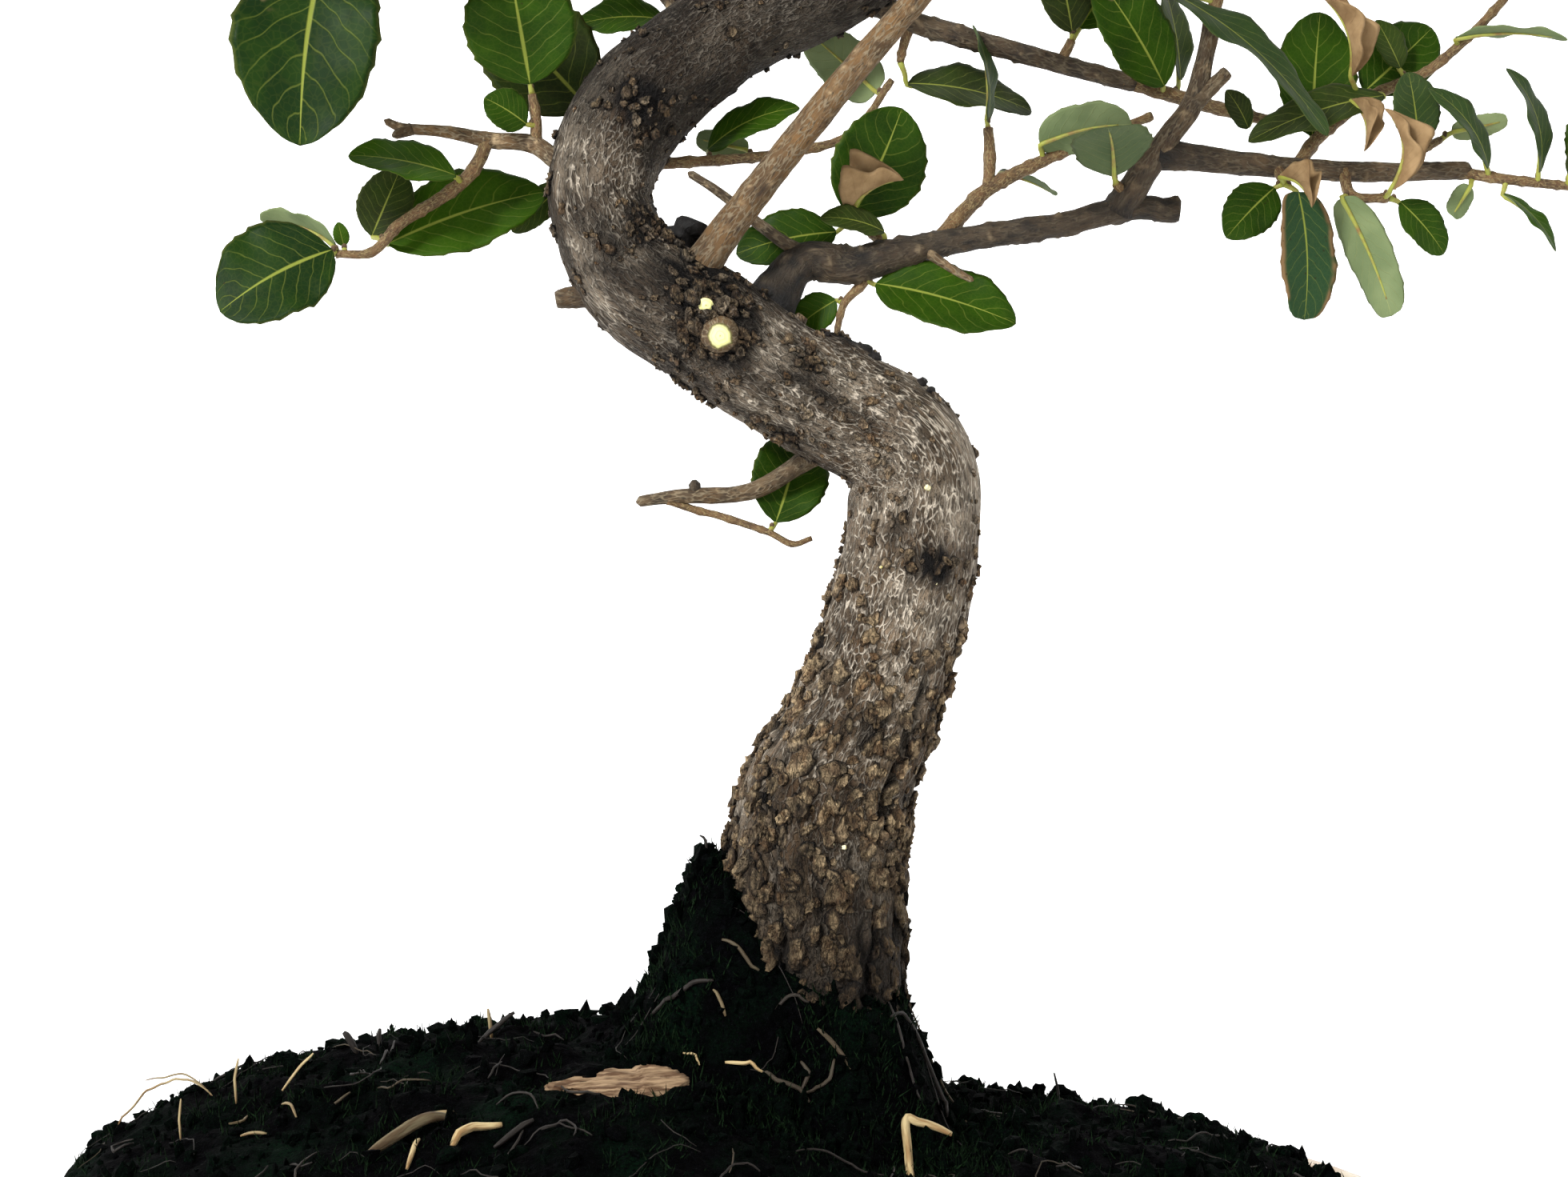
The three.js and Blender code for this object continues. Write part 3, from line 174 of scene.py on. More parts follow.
# Leafy shoots of the front view.
SEEN_SPRAYS: dict[str, SprayPlan] = {
    "shoot_left_low": SprayPlan([
        [(-56, -2, 326, 1.8), (-60, -3, 318, 1.7), (-67, -4, 312, 1.6),
         (-78, -5, 305, 1.4), (-85, -6, 298, 1.2), (-94, -7, 297.5, 1)],
    ], [
        Leaf((-95, -9, 298.5), (-123, -15, 283), 28, (-0.1, -1, 0.4), 0.05, Age.SHADED),
        Leaf((-94, -4, 299.5), (-113, 2, 306), 10, (0, 0.5, 1), 0.1, Age.PALE),
        Leaf((-92, -6, 299.5), (-93.5, -9, 305.5), 4, FRONT, 0.05, Age.YOUNG),
        # Its young tone is lighter, partly as painted sheen.
        Leaf((-64, -8, 317), (-91, -14, 322), 15, SKY_FRONT, 0.08, Age.YOUNG),
        Leaf((-85, 0, 302), (-78, 4, 318.5), 14, FRONT, 0.05, Age.OLD),
        Leaf((-81, 2, 300), (-42, 13, 313), 23, (0.1, -1, 0.35), 0.06, Age.YOUNG),
    ]),
    "shoot_left_upper": SprayPlan([
        [(-44, -2, 325, 1.6), (-44, -3, 331, 1.4), (-45, -4, 337.5, 1.1)],
    ], [
        Leaf((-46.5, -5, 330), (-57, -9, 336.5), 11, FRONT, 0.05),
        Leaf((-45.5, -6, 340), (-51, -12, 371), 28, FRONT, 0.04),
    ]),
    "shoot_left_back": SprayPlan([
        [(-22, 6, 320, 1.8), (-35, 14, 321, 1.5), (-32, 15, 331, 1.1)],
    ], [
        Leaf((-31, 15, 334), (-56, 18, 359), 29, (-0.1, -1, 0.3), 0.05, Age.OLD),
        Leaf((-37, 15, 315), (-50, 17, 303), 9, FRONT, 0.05, Age.OLD),
    ]),
    "shoot_top_back": SprayPlan([
        [(-6, 8, 348, 1.8), (-9, 20, 357, 1.4), (-8, 26, 368, 1)],
    ], [
        Leaf((-12, 21, 356), (-34, 22, 354.5), 15, SKY_FRONT, 0.08),
        Leaf((-8, 28, 372), (-20, 34, 396), 19, (-0.4, -1, 0.5), 0.06),
    ]),
    "shoot_middle_back": SprayPlan([
        [(-14, 6, 320, 1.5), (13, 13, 322, 1.3), (34, 13, 327, 1.1), (45, 13, 341, 0.9)],
    ], [
        Leaf((-1, 13, 323.5), (22, 10, 334), 12, SKY_FRONT, 0.1),
        Leaf((9, 15, 323.5), (-4, 19, 326.5), 7, BEHIND, 0.05, Age.PALE),
        Leaf((41, 16, 338), (24, 25, 353), 14, BEHIND, 0.06, Age.PALE),
    ]),
    "shoot_middle": SprayPlan([
        [(44, 4, 298, 1.6), (41, 9, 302, 1.4), (35, 11, 306, 1)],
    ], [
        Leaf((35, 10, 307), (47.5, 8, 334), 24, (0.25, -1, 0.25), 0.05),
        Leaf((34, 5, 307.5), (48, 0, 316), 13, (0.2, -0.6, 0.9), 0.16, Age.DRY),
        Leaf((43, 2, 303), (27, -1, 306.5), 9, SKY_FRONT, 0.1, Age.OLD),
        Leaf((31, 10, 303), (6, 10, 297.5), 15, FRONT, 0.05),
    ]),
    "shoot_middle_low": SprayPlan([
        [(40, 4, 296, 1.5), (38, 4, 290.5, 1.3), (33, 3, 285, 1), (31, 1, 277, 0.8)],
    ], [
        Leaf((31, 6, 286), (21, 9, 279), 10, FRONT, 0.05, Age.YOUNG),
        Leaf((41, 3, 290), (76, -5, 280), 20, (0.1, -0.9, 0.5), 0.05),
    ]),
    "shoot_back_low": SprayPlan([
        [(50, 12, 355.5, 1.4), (48, 14, 350, 1.2), (47, 14, 345.5, 1)],
    ], [
        Leaf((49, 17, 340), (80, 24, 333), 17, SKY_FRONT, 0.07, Age.OLD),
    ]),
    "shoot_neck_up": SprayPlan([
        [(56, 4, 300, 2.2), (63, 8, 308, 2.1), (71, 10, 315, 1.9),
         (90, 12, 324, 1.5), (110, 14, 332, 1.1)],
        [(69, 10, 313.5, 1.6), (69.5, 10, 322, 1.5), (69, 10, 329, 1.3)],
    ], [
        Leaf((69, 10, 330.5), (65, 8, 355), 10, SIDEWAYS, 0.08, Age.DULL),
        Leaf((82, 8, 325), (105, 1, 330), 14, (0, 0.8, 0.8), 0.06, Age.PALE),
        Leaf((72, 16, 318), (86, 26, 312), 10, SKY, 0.05, Age.OLD),
    ]),
    "shoot_fork": SprayPlan([
        [(104, 0, 312.5, 1.4), (101, -5, 315, 1.1)],
    ], [
        Leaf((100.5, -7, 317), (99, -27, 329), 20, (0, 0.6, 1), 0.08, Age.DULL),
    ]),
    "shoot_low": SprayPlan([
        [(-11, 10, 236, 1.2), (-4, 11, 233.5, 1), (2, 11, 232, 1),
         (14, 9, 228, 0.9), (20, 8, 225, 0.8), (25, 8, 226.5, 0.7)],
    ], [
        Leaf((16, 11, 230.5), (22, 21, 253), 20, FRONT, 0.04),
    ]),
    "shoot_back_middle": SprayPlan([
        [(87, 12, 345, 1.4), (90, 10, 351, 1.2)],
    ], [
        Leaf((90, 9, 353), (84, 4, 376), 14, FRONT, 0.06, Age.OLD),
        Leaf((92, 11, 354), (104, 18, 372), 15, (0.3, -0.8, 0.5), 0.06),
    ]),
    "shoot_back_end": SprayPlan([
        [(103, 12, 340.8, 1.9), (119, 12, 336, 1.8), (130, 11, 333, 1.6), (139, 10, 331, 1.3)],
    ], [
        Leaf((113, 8, 339.5), (96, 2, 367), 18, (0.2, -1, 0.1), 0.06),
        Leaf((117, 15, 341), (111, 18, 369), 13, (0.8, -0.7, 0.1), 0.06, Age.OLD),
        Leaf((134, 7, 329), (128.5, 4, 338.5), 7, FRONT, 0.05, Age.OLD),
    ]),
    "shoot_fork_top": SprayPlan([
        [(125, -6, 356, 1.8), (127, -8, 366, 1.7), (128, -9, 378, 1.5), (124, -12, 392, 1.3)],
    ], [
        Leaf((112, -14, 364), (154, -26, 327), 15, (0.5, -0.8, 0.6), 0.07, Age.DULL),
        Leaf((131, -12, 382), (152, -24, 392), 19, SKY_FRONT, 0.07),
        Leaf((121, -14, 389), (98, -24, 398), 18, SKY_FRONT, 0.07, Age.OLD),
        Leaf((124, -14, 395), (130, -22, 420), 19, FRONT, 0.05),
    ]),
    "shoot_right_up": SprayPlan([
        [(146, 0, 319, 1.9), (152, 6, 327, 1.7), (165, 8, 337, 1.5),
         (180, 6, 344, 1.3), (197, 4, 360, 1.1), (206, 2, 374, 0.9)],
    ], [
        Leaf((150, 11, 327), (152, 15, 358), 21, (0.1, -1, 0.2), 0.04),
        Leaf((163, 12, 338), (180, 17, 354), 18, FRONT, 0.05),
        Leaf((168, 3, 337), (134, 3, 325.5), 13, (0.1, -0.8, 0.6), 0.08, Age.OLD),
        Leaf((172, 8, 344), (166, 8, 356), 9, SKY_FRONT, 0.05, Age.OLD),
        Leaf((186, 3, 351.5), (214, -3, 351), 8, (0, 0.25, 1), 0.06),
        Leaf((160, 0, 342), (151, -5, 363), 9, (0.6, -0.8, 0.2), 0.18, Age.DRY),
        Leaf((160, 1, 336), (163, -3, 323), 8, (0.5, -1, 0.2), 0.2, Age.DRY),
        Leaf((209, -1, 377), (222, -16, 388), 15, SKY_FRONT, 0.06),
        Leaf((202, 5, 371), (196, 16, 392), 16, FRONT, 0.06, Age.OLD),
    ]),
    "shoot_right_hanging": SprayPlan([
        [(141, -1, 320, 1.5), (143, -5, 315, 1.2)],
    ], [
        Leaf((140.5, -5, 314), (128.5, -8, 301.5), 13, FRONT, 0.05),
        Leaf((142, -8, 317), (150, -14, 309), 9, (0, -0.4, 1), 0.2, Age.DRY),
        Leaf((146.5, -7, 313), (148, -9, 281), 14.5, (0.3, -1, 0), 0.06, Age.BLUISH),
    ]),
    "shoot_right_pale": SprayPlan([
        [(158, -1, 318, 1.5), (160, -6, 312, 1.3), (169, -5, 311.5, 1.1)],
    ], [
        Leaf((157.5, -8, 311.5), (170, -10, 282), 11.5, (0.5, 1, 0.2), 0.1, Age.PALE),
        Leaf((172, -5, 310.5), (183, -2, 297.5), 11, FRONT, 0.05),
        Leaf((170, -10, 313.5), (168, -13, 334), 8, (0.8, -0.6, 0.1), 0.2, Age.DRY),
    ]),
    "shoot_right_middle": SprayPlan([
        [(174, 0, 318.5, 1.4), (177, 0, 323, 1.2), (182, 3, 326, 1)],
    ], [
        Leaf((176.5, -2, 325), (174, -4, 343), 13, FRONT, 0.06, Age.DULL),
        Leaf((185, 3, 328), (199, 3, 331), 6, BEHIND, 0.06, Age.PALE),
    ]),
    "shoot_right_end": SprayPlan([
        [(186, 0, 318, 1.5), (200, -2, 316, 1.3), (214, -2, 314.5, 1.1), (219, -2, 314, 0.9)],
    ], [
        Leaf((194, -4, 319), (179, -8, 339), 10, (0.8, -0.7, 0.2), 0.12, Age.DULL),
        Leaf((207, -4, 318), (198.5, -7, 344), 10, (0.7, -0.8, 0.2), 0.12, Age.DULL),
        Leaf((214.5, -4, 317), (217, -6, 335), 9, (0.5, -0.9, 0.2), 0.08, Age.OLD),
        Leaf((198, -2, 312.5), (211, -5, 298), 7, (0.6, -0.6, 0.6), 0.08),
        Leaf((189.5, -2, 314.5), (185, -5, 307), 6, BEHIND, 0.05, Age.PALE),
        Leaf((219, 0, 316), (221, 14, 334), 15, SKY_FRONT, 0.06),
    ]),
    "shoot_left_front": SprayPlan([
        [(-90, -17, 390.5, 1.8), (-94, -22, 384, 1.5), (-96, -25, 378, 1.1)],
    ], [
        Leaf((-96.5, -26, 375), (-103, -31, 324.5), 35, (0.05, -1, 0.12), 0.04, Age.SHADED),
        Leaf((-92, -25, 384), (-70, -36, 372), 20, SKY_FRONT, 0.08, Age.OLD),
    ]),
}

# Leafy shoots of the crown: start, end, number of leaves and seed.
CROWN_SPRAYS: dict[str, tuple[Point, Point, int, int]] = {
    "crown_left_tip": ((-176, -8, 398.6), (-198, -6, 402), 5, 3),
    "crown_left_outer": ((-150, -14, 393), (-160, -50, 401), 4, 5),
    "crown_left_back": ((-128, -16.5, 390.6), (-137, 20, 402), 4, 7),
    "crown_right_tip": ((170, 2, 402.8), (194, 4, 414), 5, 11),
    "crown_right_front": ((140, 6, 398.8), (162, -38, 412), 4, 13),
    "crown_right_back": ((112, 7.6, 395), (122, 46, 404), 4, 15),
    "crown_right_up": ((84, 6.8, 390.8), (88, -2, 424), 4, 17),
    "crown_back_tip": ((36.4, 83, 405), (28, 106, 408), 5, 19),
    "crown_front_tip": ((46.3, -75, 410), (42, -100, 412), 5, 23),
    "crown_high_left": ((-70, 8, 438), (-98, 4, 442), 4, 27),
    "crown_high_back": ((-26, 8.6, 438.5), (-34, 42, 448), 4, 29),
    "crown_high_right": ((70, 9.8, 449.8), (98, 12, 456), 4, 31),
    "crown_apex": ((12, 0, 452), (6, -2, 474), 6, 33),
    "crown_back_left": ((-72, 65, 397.6), (-98, 76, 402), 4, 37),
    "crown_front_shoot": ((77.5, -31, 403), (94, -56, 420), 4, 39),
}

# Limbs, stubs and twigs of the trunk's own wood.
LIMBS: dict[str, Limb] = {
    "front_shoot": Limb([(-5, -5, 288, 4.4), (-1, -10, 297, 3.9), (22, -16, 327, 3.6),
        (42, -20, 351, 3.3), (55, -23, 366, 3.1), (69, -27, 386, 2.8), (78, -31, 404, 2.4)],
        warmth=0.85, dark=0.22, rough=0.2),
    # The neck is darkened with painted shade.
    "neck": Limb([(12, 0, 281, 5), (22, 3, 295, 4.6), (34, 4, 294.5, 4.6), (45, 4, 297, 4.2),
        (62, 4, 301, 3.2), (88, 3, 305, 3), (104, 2, 309, 3.2), (117, 1, 308, 2.8)],
        dark=0.68, rough=0.7, end=End.OLD),
    "right_fork": Limb([(102, 2, 309, 3), (106, -2, 315, 3), (112, -4, 324, 2.8),
        (120, -6, 335, 2.5), (124, -6, 350, 2.2), (125.5, -6, 358, 2)],
        warmth=0.35, dark=0.4, rough=0.4),
    "fork_stub": Limb([(120, -6, 335, 1.8), (129, -7, 343, 1.4)], end=End.OLD),
    "right_limb": Limb([(111, -3, 322.5, 2.8), (122, -2, 321.5, 2.8), (134, -1, 320, 2.6),
        (162, 0, 318, 2.5), (190, 0, 318.5, 2.2)], warmth=0.35, dark=0.45, rough=0.4),
    "back_limb": Limb([(28, 8, 364, 3.4), (42, 12, 359.5, 2.7), (52, 12, 355, 2.6),
        (87, 12, 345, 2.4), (106, 12, 340, 2.2)], dark=0.5, rough=0.6, end=End.OLD),
    "left_limb": Limb([(-27, 0, 316, 2.8), (-38, -2, 320.5, 2.2), (-45, -2, 325, 2),
        (-56, -2, 326, 1.9), (-66, -2, 328, 1.5), (-77, -2, 329, 1.2), (-82, -2, 331, 0.9)],
        warmth=0.5, rough=0.35),
    "left_fork": Limb([(-75, -2, 328.8, 1.1), (-80, -3, 327, 0.8)], warmth=0.5, rough=0.2),
    "low_limb": Limb([(34, 6, 253, 2.8), (22, 10, 245, 2.3), (9, 10, 238, 2.1), (-8, 10, 237, 1.8),
        (-19, 10, 235.5, 1.4)], warmth=0.3, dark=0.2, rough=0.2),
    "low_bud": Limb([(-4, 10, 237, 1), (-4.5, 9, 241, 1.2)], dark=0.3),
    "dead_twig": Limb([(27, 4, 296, 1.6), (17, 1, 301, 1.4), (3, -1, 312, 1.2), (-6, -2, 318, 1)],
        dark=0.2, rough=0.3),
    "left_stub": Limb([(-27, -4, 288, 2.6), (-39, -4, 286, 2)], warmth=0.45, dark=0.3, end=End.OLD),
    "dead_stub": Limb([(-8, -6, 291, 3.2), (-8, -8, 302, 2.2), (-7, -8, 307, 1.2)],
        dark=1.0, rough=1.9),
    "top_stub": Limb([(26, 1, 262, 3), (33, 1, 274, 2.4)], dark=0.5, end=End.OLD),
    "neck_twig": Limb([(52, 3, 299.5, 1.2), (58, 1, 295, 0.9), (65.5, -1, 290.6, 0.8)],
        warmth=0.5, rough=0.3),
    "cut_large": Limb([(2, -8, 278, 4.6), (2, -19, 277.4, 3.9), (2, -22.5, 277.2, 3.1)],
        warmth=0.5, end=End.FRESH),
    "cut_small": Limb([(-1.5, -8, 285, 3), (-1.5, -19.5, 284.6, 1.8)], warmth=0.3, end=End.FRESH),
    "crown_left": Limb([(6, 6, 355, 5), (-14, -2, 373, 4.4), (-40, -10, 385, 3.9),
        (-75, -16, 391, 3.3), (-110, -18, 389, 2.9), (-150, -14, 393, 2.4), (-178, -8, 399, 2)],
        warmth=0.3, rough=0.4),
    "crown_right": Limb([(44, 4, 375, 5), (70, 6, 388, 4.2), (105, 8, 394, 3.4),
        (140, 6, 399, 2.7), (172, 2, 403, 2.1)], warmth=0.3, rough=0.4),
    "crown_back": Limb([(52, 2, 388, 4.6), (52, 30, 397, 3.8), (44, 58, 403, 2.9),
        (36, 84, 405, 2.1)]),
    "crown_front": Limb([(50, -2, 402, 4.4), (52, -28, 411, 3.6), (50, -52, 413, 2.8),
        (46, -76, 410, 2.1)]),
    "crown_high_left": Limb([(26, -1, 424, 4), (-6, 6, 436, 3.2), (-40, 10, 440, 2.5),
        (-72, 8, 438, 1.9)]),
    "crown_high_right": Limb([(16, 0, 437, 3.6), (44, 6, 447, 2.7), (72, 10, 450, 1.8)]),
    "crown_back_left": Limb([(0, 8, 350, 4.4), (-22, 30, 378, 3.5), (-48, 52, 391, 2.7),
        (-74, 66, 398, 2)]),
}


def seen(point: Sequence[float]) -> Array:
    """Place of a point that is planned as it looks from the front, at the depth of the trunk.

    Args:
        point: x, depth y and z in millimetres.

    Returns:
        The place in metres, on the same line of sight at its own depth.
    """
    x, y, z = (value * MM for value in point[:3])
    reach = (FOCUS + y) / FOCUS
    return np.array((EYE.x + (x - EYE.x) * reach, y, EYE.z + (z - EYE.z) * reach))


def unit(vector: Array) -> Array:
    """The vector at length one."""
    return vector / max(float(np.linalg.norm(vector)), 1e-12)


def units(rows: Array) -> Array:
    """Each row of an array at length one."""
    return rows / np.linalg.norm(rows, axis=1, keepdims=True)


def spun(x: float, y: float, turn: float) -> tuple[float, float]:
    """A place turned about the vertical."""
    return x * math.cos(turn) - y * math.sin(turn), x * math.sin(turn) + y * math.cos(turn)


def place_in_scene(name: str, data: bpy.types.ID) -> bpy.types.Object:
    """A new object of a mesh, lamp or camera, linked to the scene."""
    made = bpy.data.objects.new(name, data)
    bpy.context.scene.collection.objects.link(made)
    return made


def smooth_step(value: Array | float, low: float, high: float) -> Array | float:
    """0 below low, 1 above high and smooth in between."""
    share = np.clip((value - low) / (high - low), 0.0, 1.0)
    return share * share * (3 - 2 * share)


def fractal(place: Sequence[float], octaves: int = 3) -> float:
    """Smooth noise from about -1 to 1 at a place given in noise cells."""
    return noise.fractal(Vector(place), 1.0, 2.0, octaves)


class Repeatable:
    """The numbers between 0 and 1 that the solids of the crown were drawn with."""

    def __init__(self, seed: int) -> None:
        """Starts the row of numbers of a seed."""
        self.state = seed * 7919

    def __call__(self) -> float:
        """The next number."""
        self.state = (self.state * 1664525 + 1013904223) & 0xFFFFFFFF
        return self.state / 2**32


@dataclass
class Course:
    """Even samples of a stem's axis, each with a radius and two directions across the stem."""

    at: Array
    radius: Array
    side: Array
    up: Array
    run: Array

    @classmethod
    def through(cls, points: Points, spacing: float) -> "Course":
        """A smooth course through planned points.

        Args:
            points: x, y, z and radius in millimetres, seen from the front.
            spacing: distance from sample to sample in millimetres.

        Returns:
            The course.
        """
        return cls.along(np.array([(*seen(p), p[3] * MM) for p in points]), spacing)

    @classmethod
    def along(cls, knots: Array, spacing: float) -> "Course":
        """A smooth course through knots in metres.

        Args:
            knots: rows of x, y, z and radius in metres.
            spacing: distance from sample to sample in millimetres.

        Returns:
            The course.
        """
        every = np.vstack((2 * knots[0] - knots[1], knots, 2 * knots[-1] - knots[-2]))
        t = (np.arange(24) / 24)[:, None]
        spans = [
            0.5 * (2 * b + (c - a) * t + (2 * a - 5 * b + 4 * c - d) * t**2
                   + (3 * b - a - 3 * c + d) * t**3)
            for a, b, c, d in zip(every, every[1:], every[2:], every[3:])
        ]
        dense = np.vstack((*spans, knots[-1:]))
        steps = np.linalg.norm(np.diff(dense[:, :3], axis=0), axis=1)
        run = np.concatenate(([0.0], np.cumsum(steps)))
        count = max(3, round(run[-1] / (spacing * MM)) + 1)
        marks = np.linspace(0.0, run[-1], count)
        samples = np.stack([np.interp(marks, run, dense[:, i]) for i in range(4)], axis=1)
        at = samples[:, :3]
        tangents = np.gradient(at, axis=0)
        side = np.array((1.0, 0.0, 0.0))
        sides, ups = [], []
        for raw in tangents:
            tangent = unit(raw)
            if abs(side @ tangent) > 0.95:
                side = np.array((0.0, 1.0, 0.0))
            side = unit(side - (side @ tangent) * tangent)
            sides.append(side)
            ups.append(np.cross(tangent, side))
        return cls(at, samples[:, 3], np.array(sides), np.array(ups), marks)

    def nearest(self, place: Array) -> int:
        """Number of the sample that is nearest to a place."""
        return int(np.argmin(np.linalg.norm(self.at - place, axis=1)))


class Growth:
    """A mesh in the making: stems, blades and pellets in one bmesh, with what their finish reads.

    The vertex layers are grain, the place on the stem as if it were straight, marks, three masks
    of the finish, and blade, the place on a leaf as (across, along, seed).
    """

    def __init__(self, shape: bpy.types.Mesh | None = None) -> None:
        """Starts an empty mesh, or one with a shape in it."""
        self.bm = bmesh.new()
        if shape is not None:
            self.bm.from_mesh(shape)
        layers = self.bm.verts.layers.float_vector
        self.grain = layers.new("grain")
        self.marks = layers.new("marks")
        self.blade = layers.new("blade")

    def grid(self, columns: int, rows: int) -> tuple[list, Array, Array]:
        """Adds a smooth flat grid that is still to be shaped.

        Args:
            columns: number of faces across.
            rows: number of faces along.

        Returns:
            Its vertices, with the column and the row of each.
        """
        made = bmesh.ops.create_grid(self.bm, x_segments=columns, y_segments=rows, size=1.0)["verts"]
        for face in {face for vertex in made for face in vertex.link_faces}:
            face.smooth = True
        flat = np.array([vertex.co[:2] for vertex in made])
        column = np.rint((flat[:, 0] + 1) / 2 * columns).astype(int)
        row = np.rint((flat[:, 1] + 1) / 2 * rows).astype(int)
        return made, column, row

    def close(self, made: list, seam: list) -> list:
        """Joins the seam of a rolled grid and fills its open ends.

        Args:
            made: every vertex of the grid.
            seam: the vertices that lie on each other.

        Returns:
            The vertices in the middle of the filled ends.
        """
        bmesh.ops.remove_doubles(self.bm, verts=seam, dist=1e-7)
        alive = [vertex for vertex in made if vertex.is_valid]
        rim = {edge for vertex in alive for edge in vertex.link_edges if edge.is_boundary}
        if not rim:
            return []
        caps = bmesh.ops.holes_fill(self.bm, edges=list(rim), sides=0)["faces"]
        return bmesh.ops.poke(self.bm, faces=caps)["verts"]

    def stem(
        self,
        course: Course,
        sides: int,
        slot: int = 0,
        relief: Array | None = None,
        marks: Array | Point = (0.0, 0.0, 0.0),
        end_slot: int | None = None,
    ) -> None:
        """Adds a closed stem round a course.

        Args:
            course: its axis.
            sides: columns round it.
            slot: material slot of its bark.
            relief: heights over the radius in metres, rows by columns.
            marks: masks of the finish, one for all or rows by columns by three.
            end_slot: material slot of the cut face at its end, if it has one.
        """
        rows = len(course.run) - 1
        made, column, row = self.grid(sides, rows)
        faces = {face for vertex in made for face in vertex.link_faces}
        seam = [v for v, c in zip(made, column) if c in (0, sides)]
        column = column % sides
        angle = TURN * column / sides
        cosine, sine = np.cos(angle)[:, None], np.sin(angle)[:, None]
        out = course.side[row] * cosine + course.up[row] * sine
        radius = course.radius[row]
        if relief is not None:
            radius = radius + relief[row, column]
        places = course.at[row] + out * radius[:, None]
        mask = np.broadcast_to(np.array(marks), (rows + 1, sides, 3))[row, column]
        wide = course.radius[row][:, None]
        grain = np.hstack((cosine * wide, sine * wide, course.run[row][:, None]))
        for i, vertex in enumerate(made):
            vertex.co = places[i]
            vertex[self.grain] = grain[i]
            vertex[self.marks] = mask[i]
        for face in faces:
            face.material_index = slot
        for middle in self.close(made, seam):
            first, last = ((middle.co - Vector(course.at[i])).length for i in (0, -1))
            at_end = last < first
            middle[self.grain] = (0.0, 0.0, float(course.run[-1 if at_end else 0]))
            middle[self.marks] = tuple(mask[0])
            for face in middle.link_faces:
                face.smooth = True
                face.material_index = end_slot if at_end and end_slot is not None else slot

    def pellet(self, place: Sequence[float], size: Sequence[float], turn: float,
               marks: Point, slot: int = 0, finer: int = 1, uneven: float = 0.0) -> None:
        """Adds a small rounded lump.

        Args:
            place: its middle in metres.
            size: its three half-lengths in metres.
            turn: its turn about Z in radians.
            marks: masks of the finish.
            slot: material slot.
            finer: 1 for twenty faces, 2 for eighty.
            uneven: share of its size by which its surface goes in and out.
        """
        made = bmesh.ops.create_icosphere(self.bm, subdivisions=finer, radius=1.0)["verts"]
        cosine, sine = math.cos(turn), math.sin(turn)
        for vertex in made:
            swell = 1.0 + uneven * noise.noise(vertex.co * 1.7 + Vector(place) * 900)
            x, y, z = (c * s * swell for c, s in zip(vertex.co, size))
            vertex.co = (place[0] + x * cosine - y * sine, place[1] + x * sine + y * cosine,
                         place[2] + z)
            vertex[self.grain] = (x, y, z)
            vertex[self.marks] = marks
            for face in vertex.link_faces:
                face.material_index = slot
                face.smooth = uneven < 0.2

    def finish(self, name: str, materials: Sequence[Material], slot: Slot,
               nodes: Sequence[str] = ()) -> bpy.types.Object:
        """Turns the mesh into a piece that rides on the tree.

        Args:
            name: name of the piece.
            materials: its materials, in the order of their slots.
            slot: the piece's material slot name; not used.
            nodes: nodes that the piece stands for.

        Returns:
            The new object.
        """
        bmesh.ops.recalc_face_normals(self.bm, faces=self.bm.faces)
        mesh = bpy.data.meshes.new(name)
        self.bm.to_mesh(mesh)
        self.bm.free()
        for material in materials:
            mesh.materials.append(material)
        piece = place_in_scene(name, mesh)
        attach(piece, "root")
        if nodes:
            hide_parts(*nodes)
        triangles = sum(len(polygon.vertices) - 2 for polygon in mesh.polygons)
        LOG.info("%s: %d triangles", name, triangles)
        return piece


class Swarm(Growth):
    """A mesh of many copies of one small shape, each with a place and a size of its own."""

    def __init__(self, count: int, make: Callable[[bmesh.types.BMesh], None]) -> None:
        """Makes the shape once and copies it.

        Args:
            count: number of copies.
            make: adds the shape to a mesh.
        """
        maker, shape = bmesh.new(), bpy.data.meshes.new("shape")
        make(maker)
        maker.to_mesh(shape)
        maker.free()
        super().__init__(shape)
        bpy.data.meshes.remove(shape)
        self.count, self.each = count, len(self.bm.verts)
        self.shape = np.array([tuple(vertex.co) for vertex in self.bm.verts])
        kinds = (self.bm.verts, self.bm.edges, self.bm.faces)
        sizes = [len(kind) for kind in kinds]
        done = 1
        while done < count:
            more = min(done, count - done)
            parts = [item for kind, size in zip(kinds, sizes) for item in list(kind)[:more * size]]
            bmesh.ops.duplicate(self.bm, geom=parts)
            done += more

    def settle(self, origins: Array, frames: Array, marks: Array,
               uneven: float = 0.0) -> None:
        """Moves every copy to its place.

        Args:
            origins: where each copy's middle goes, in metres.
            frames: the three scaled directions of each copy, as columns.
            marks: masks of the finish, copies by vertices by three.
            uneven: share of its size by which its surface goes in and out.
        """
        draw = np.random.default_rng(self.count)
        swell = 1 + uneven * draw.uniform(-1, 1, (self.count, self.each, 1))
        places = origins[:, None] + np.einsum("kij,knj->kni", frames, self.shape * swell)
        marks = np.broadcast_to(marks, places.shape)
        for vertex, place, mark in zip(self.bm.verts, places.reshape(-1, 3), marks.reshape(-1, 3)):
            vertex.co = place
            vertex[self.grain] = place
            vertex[self.marks] = mark


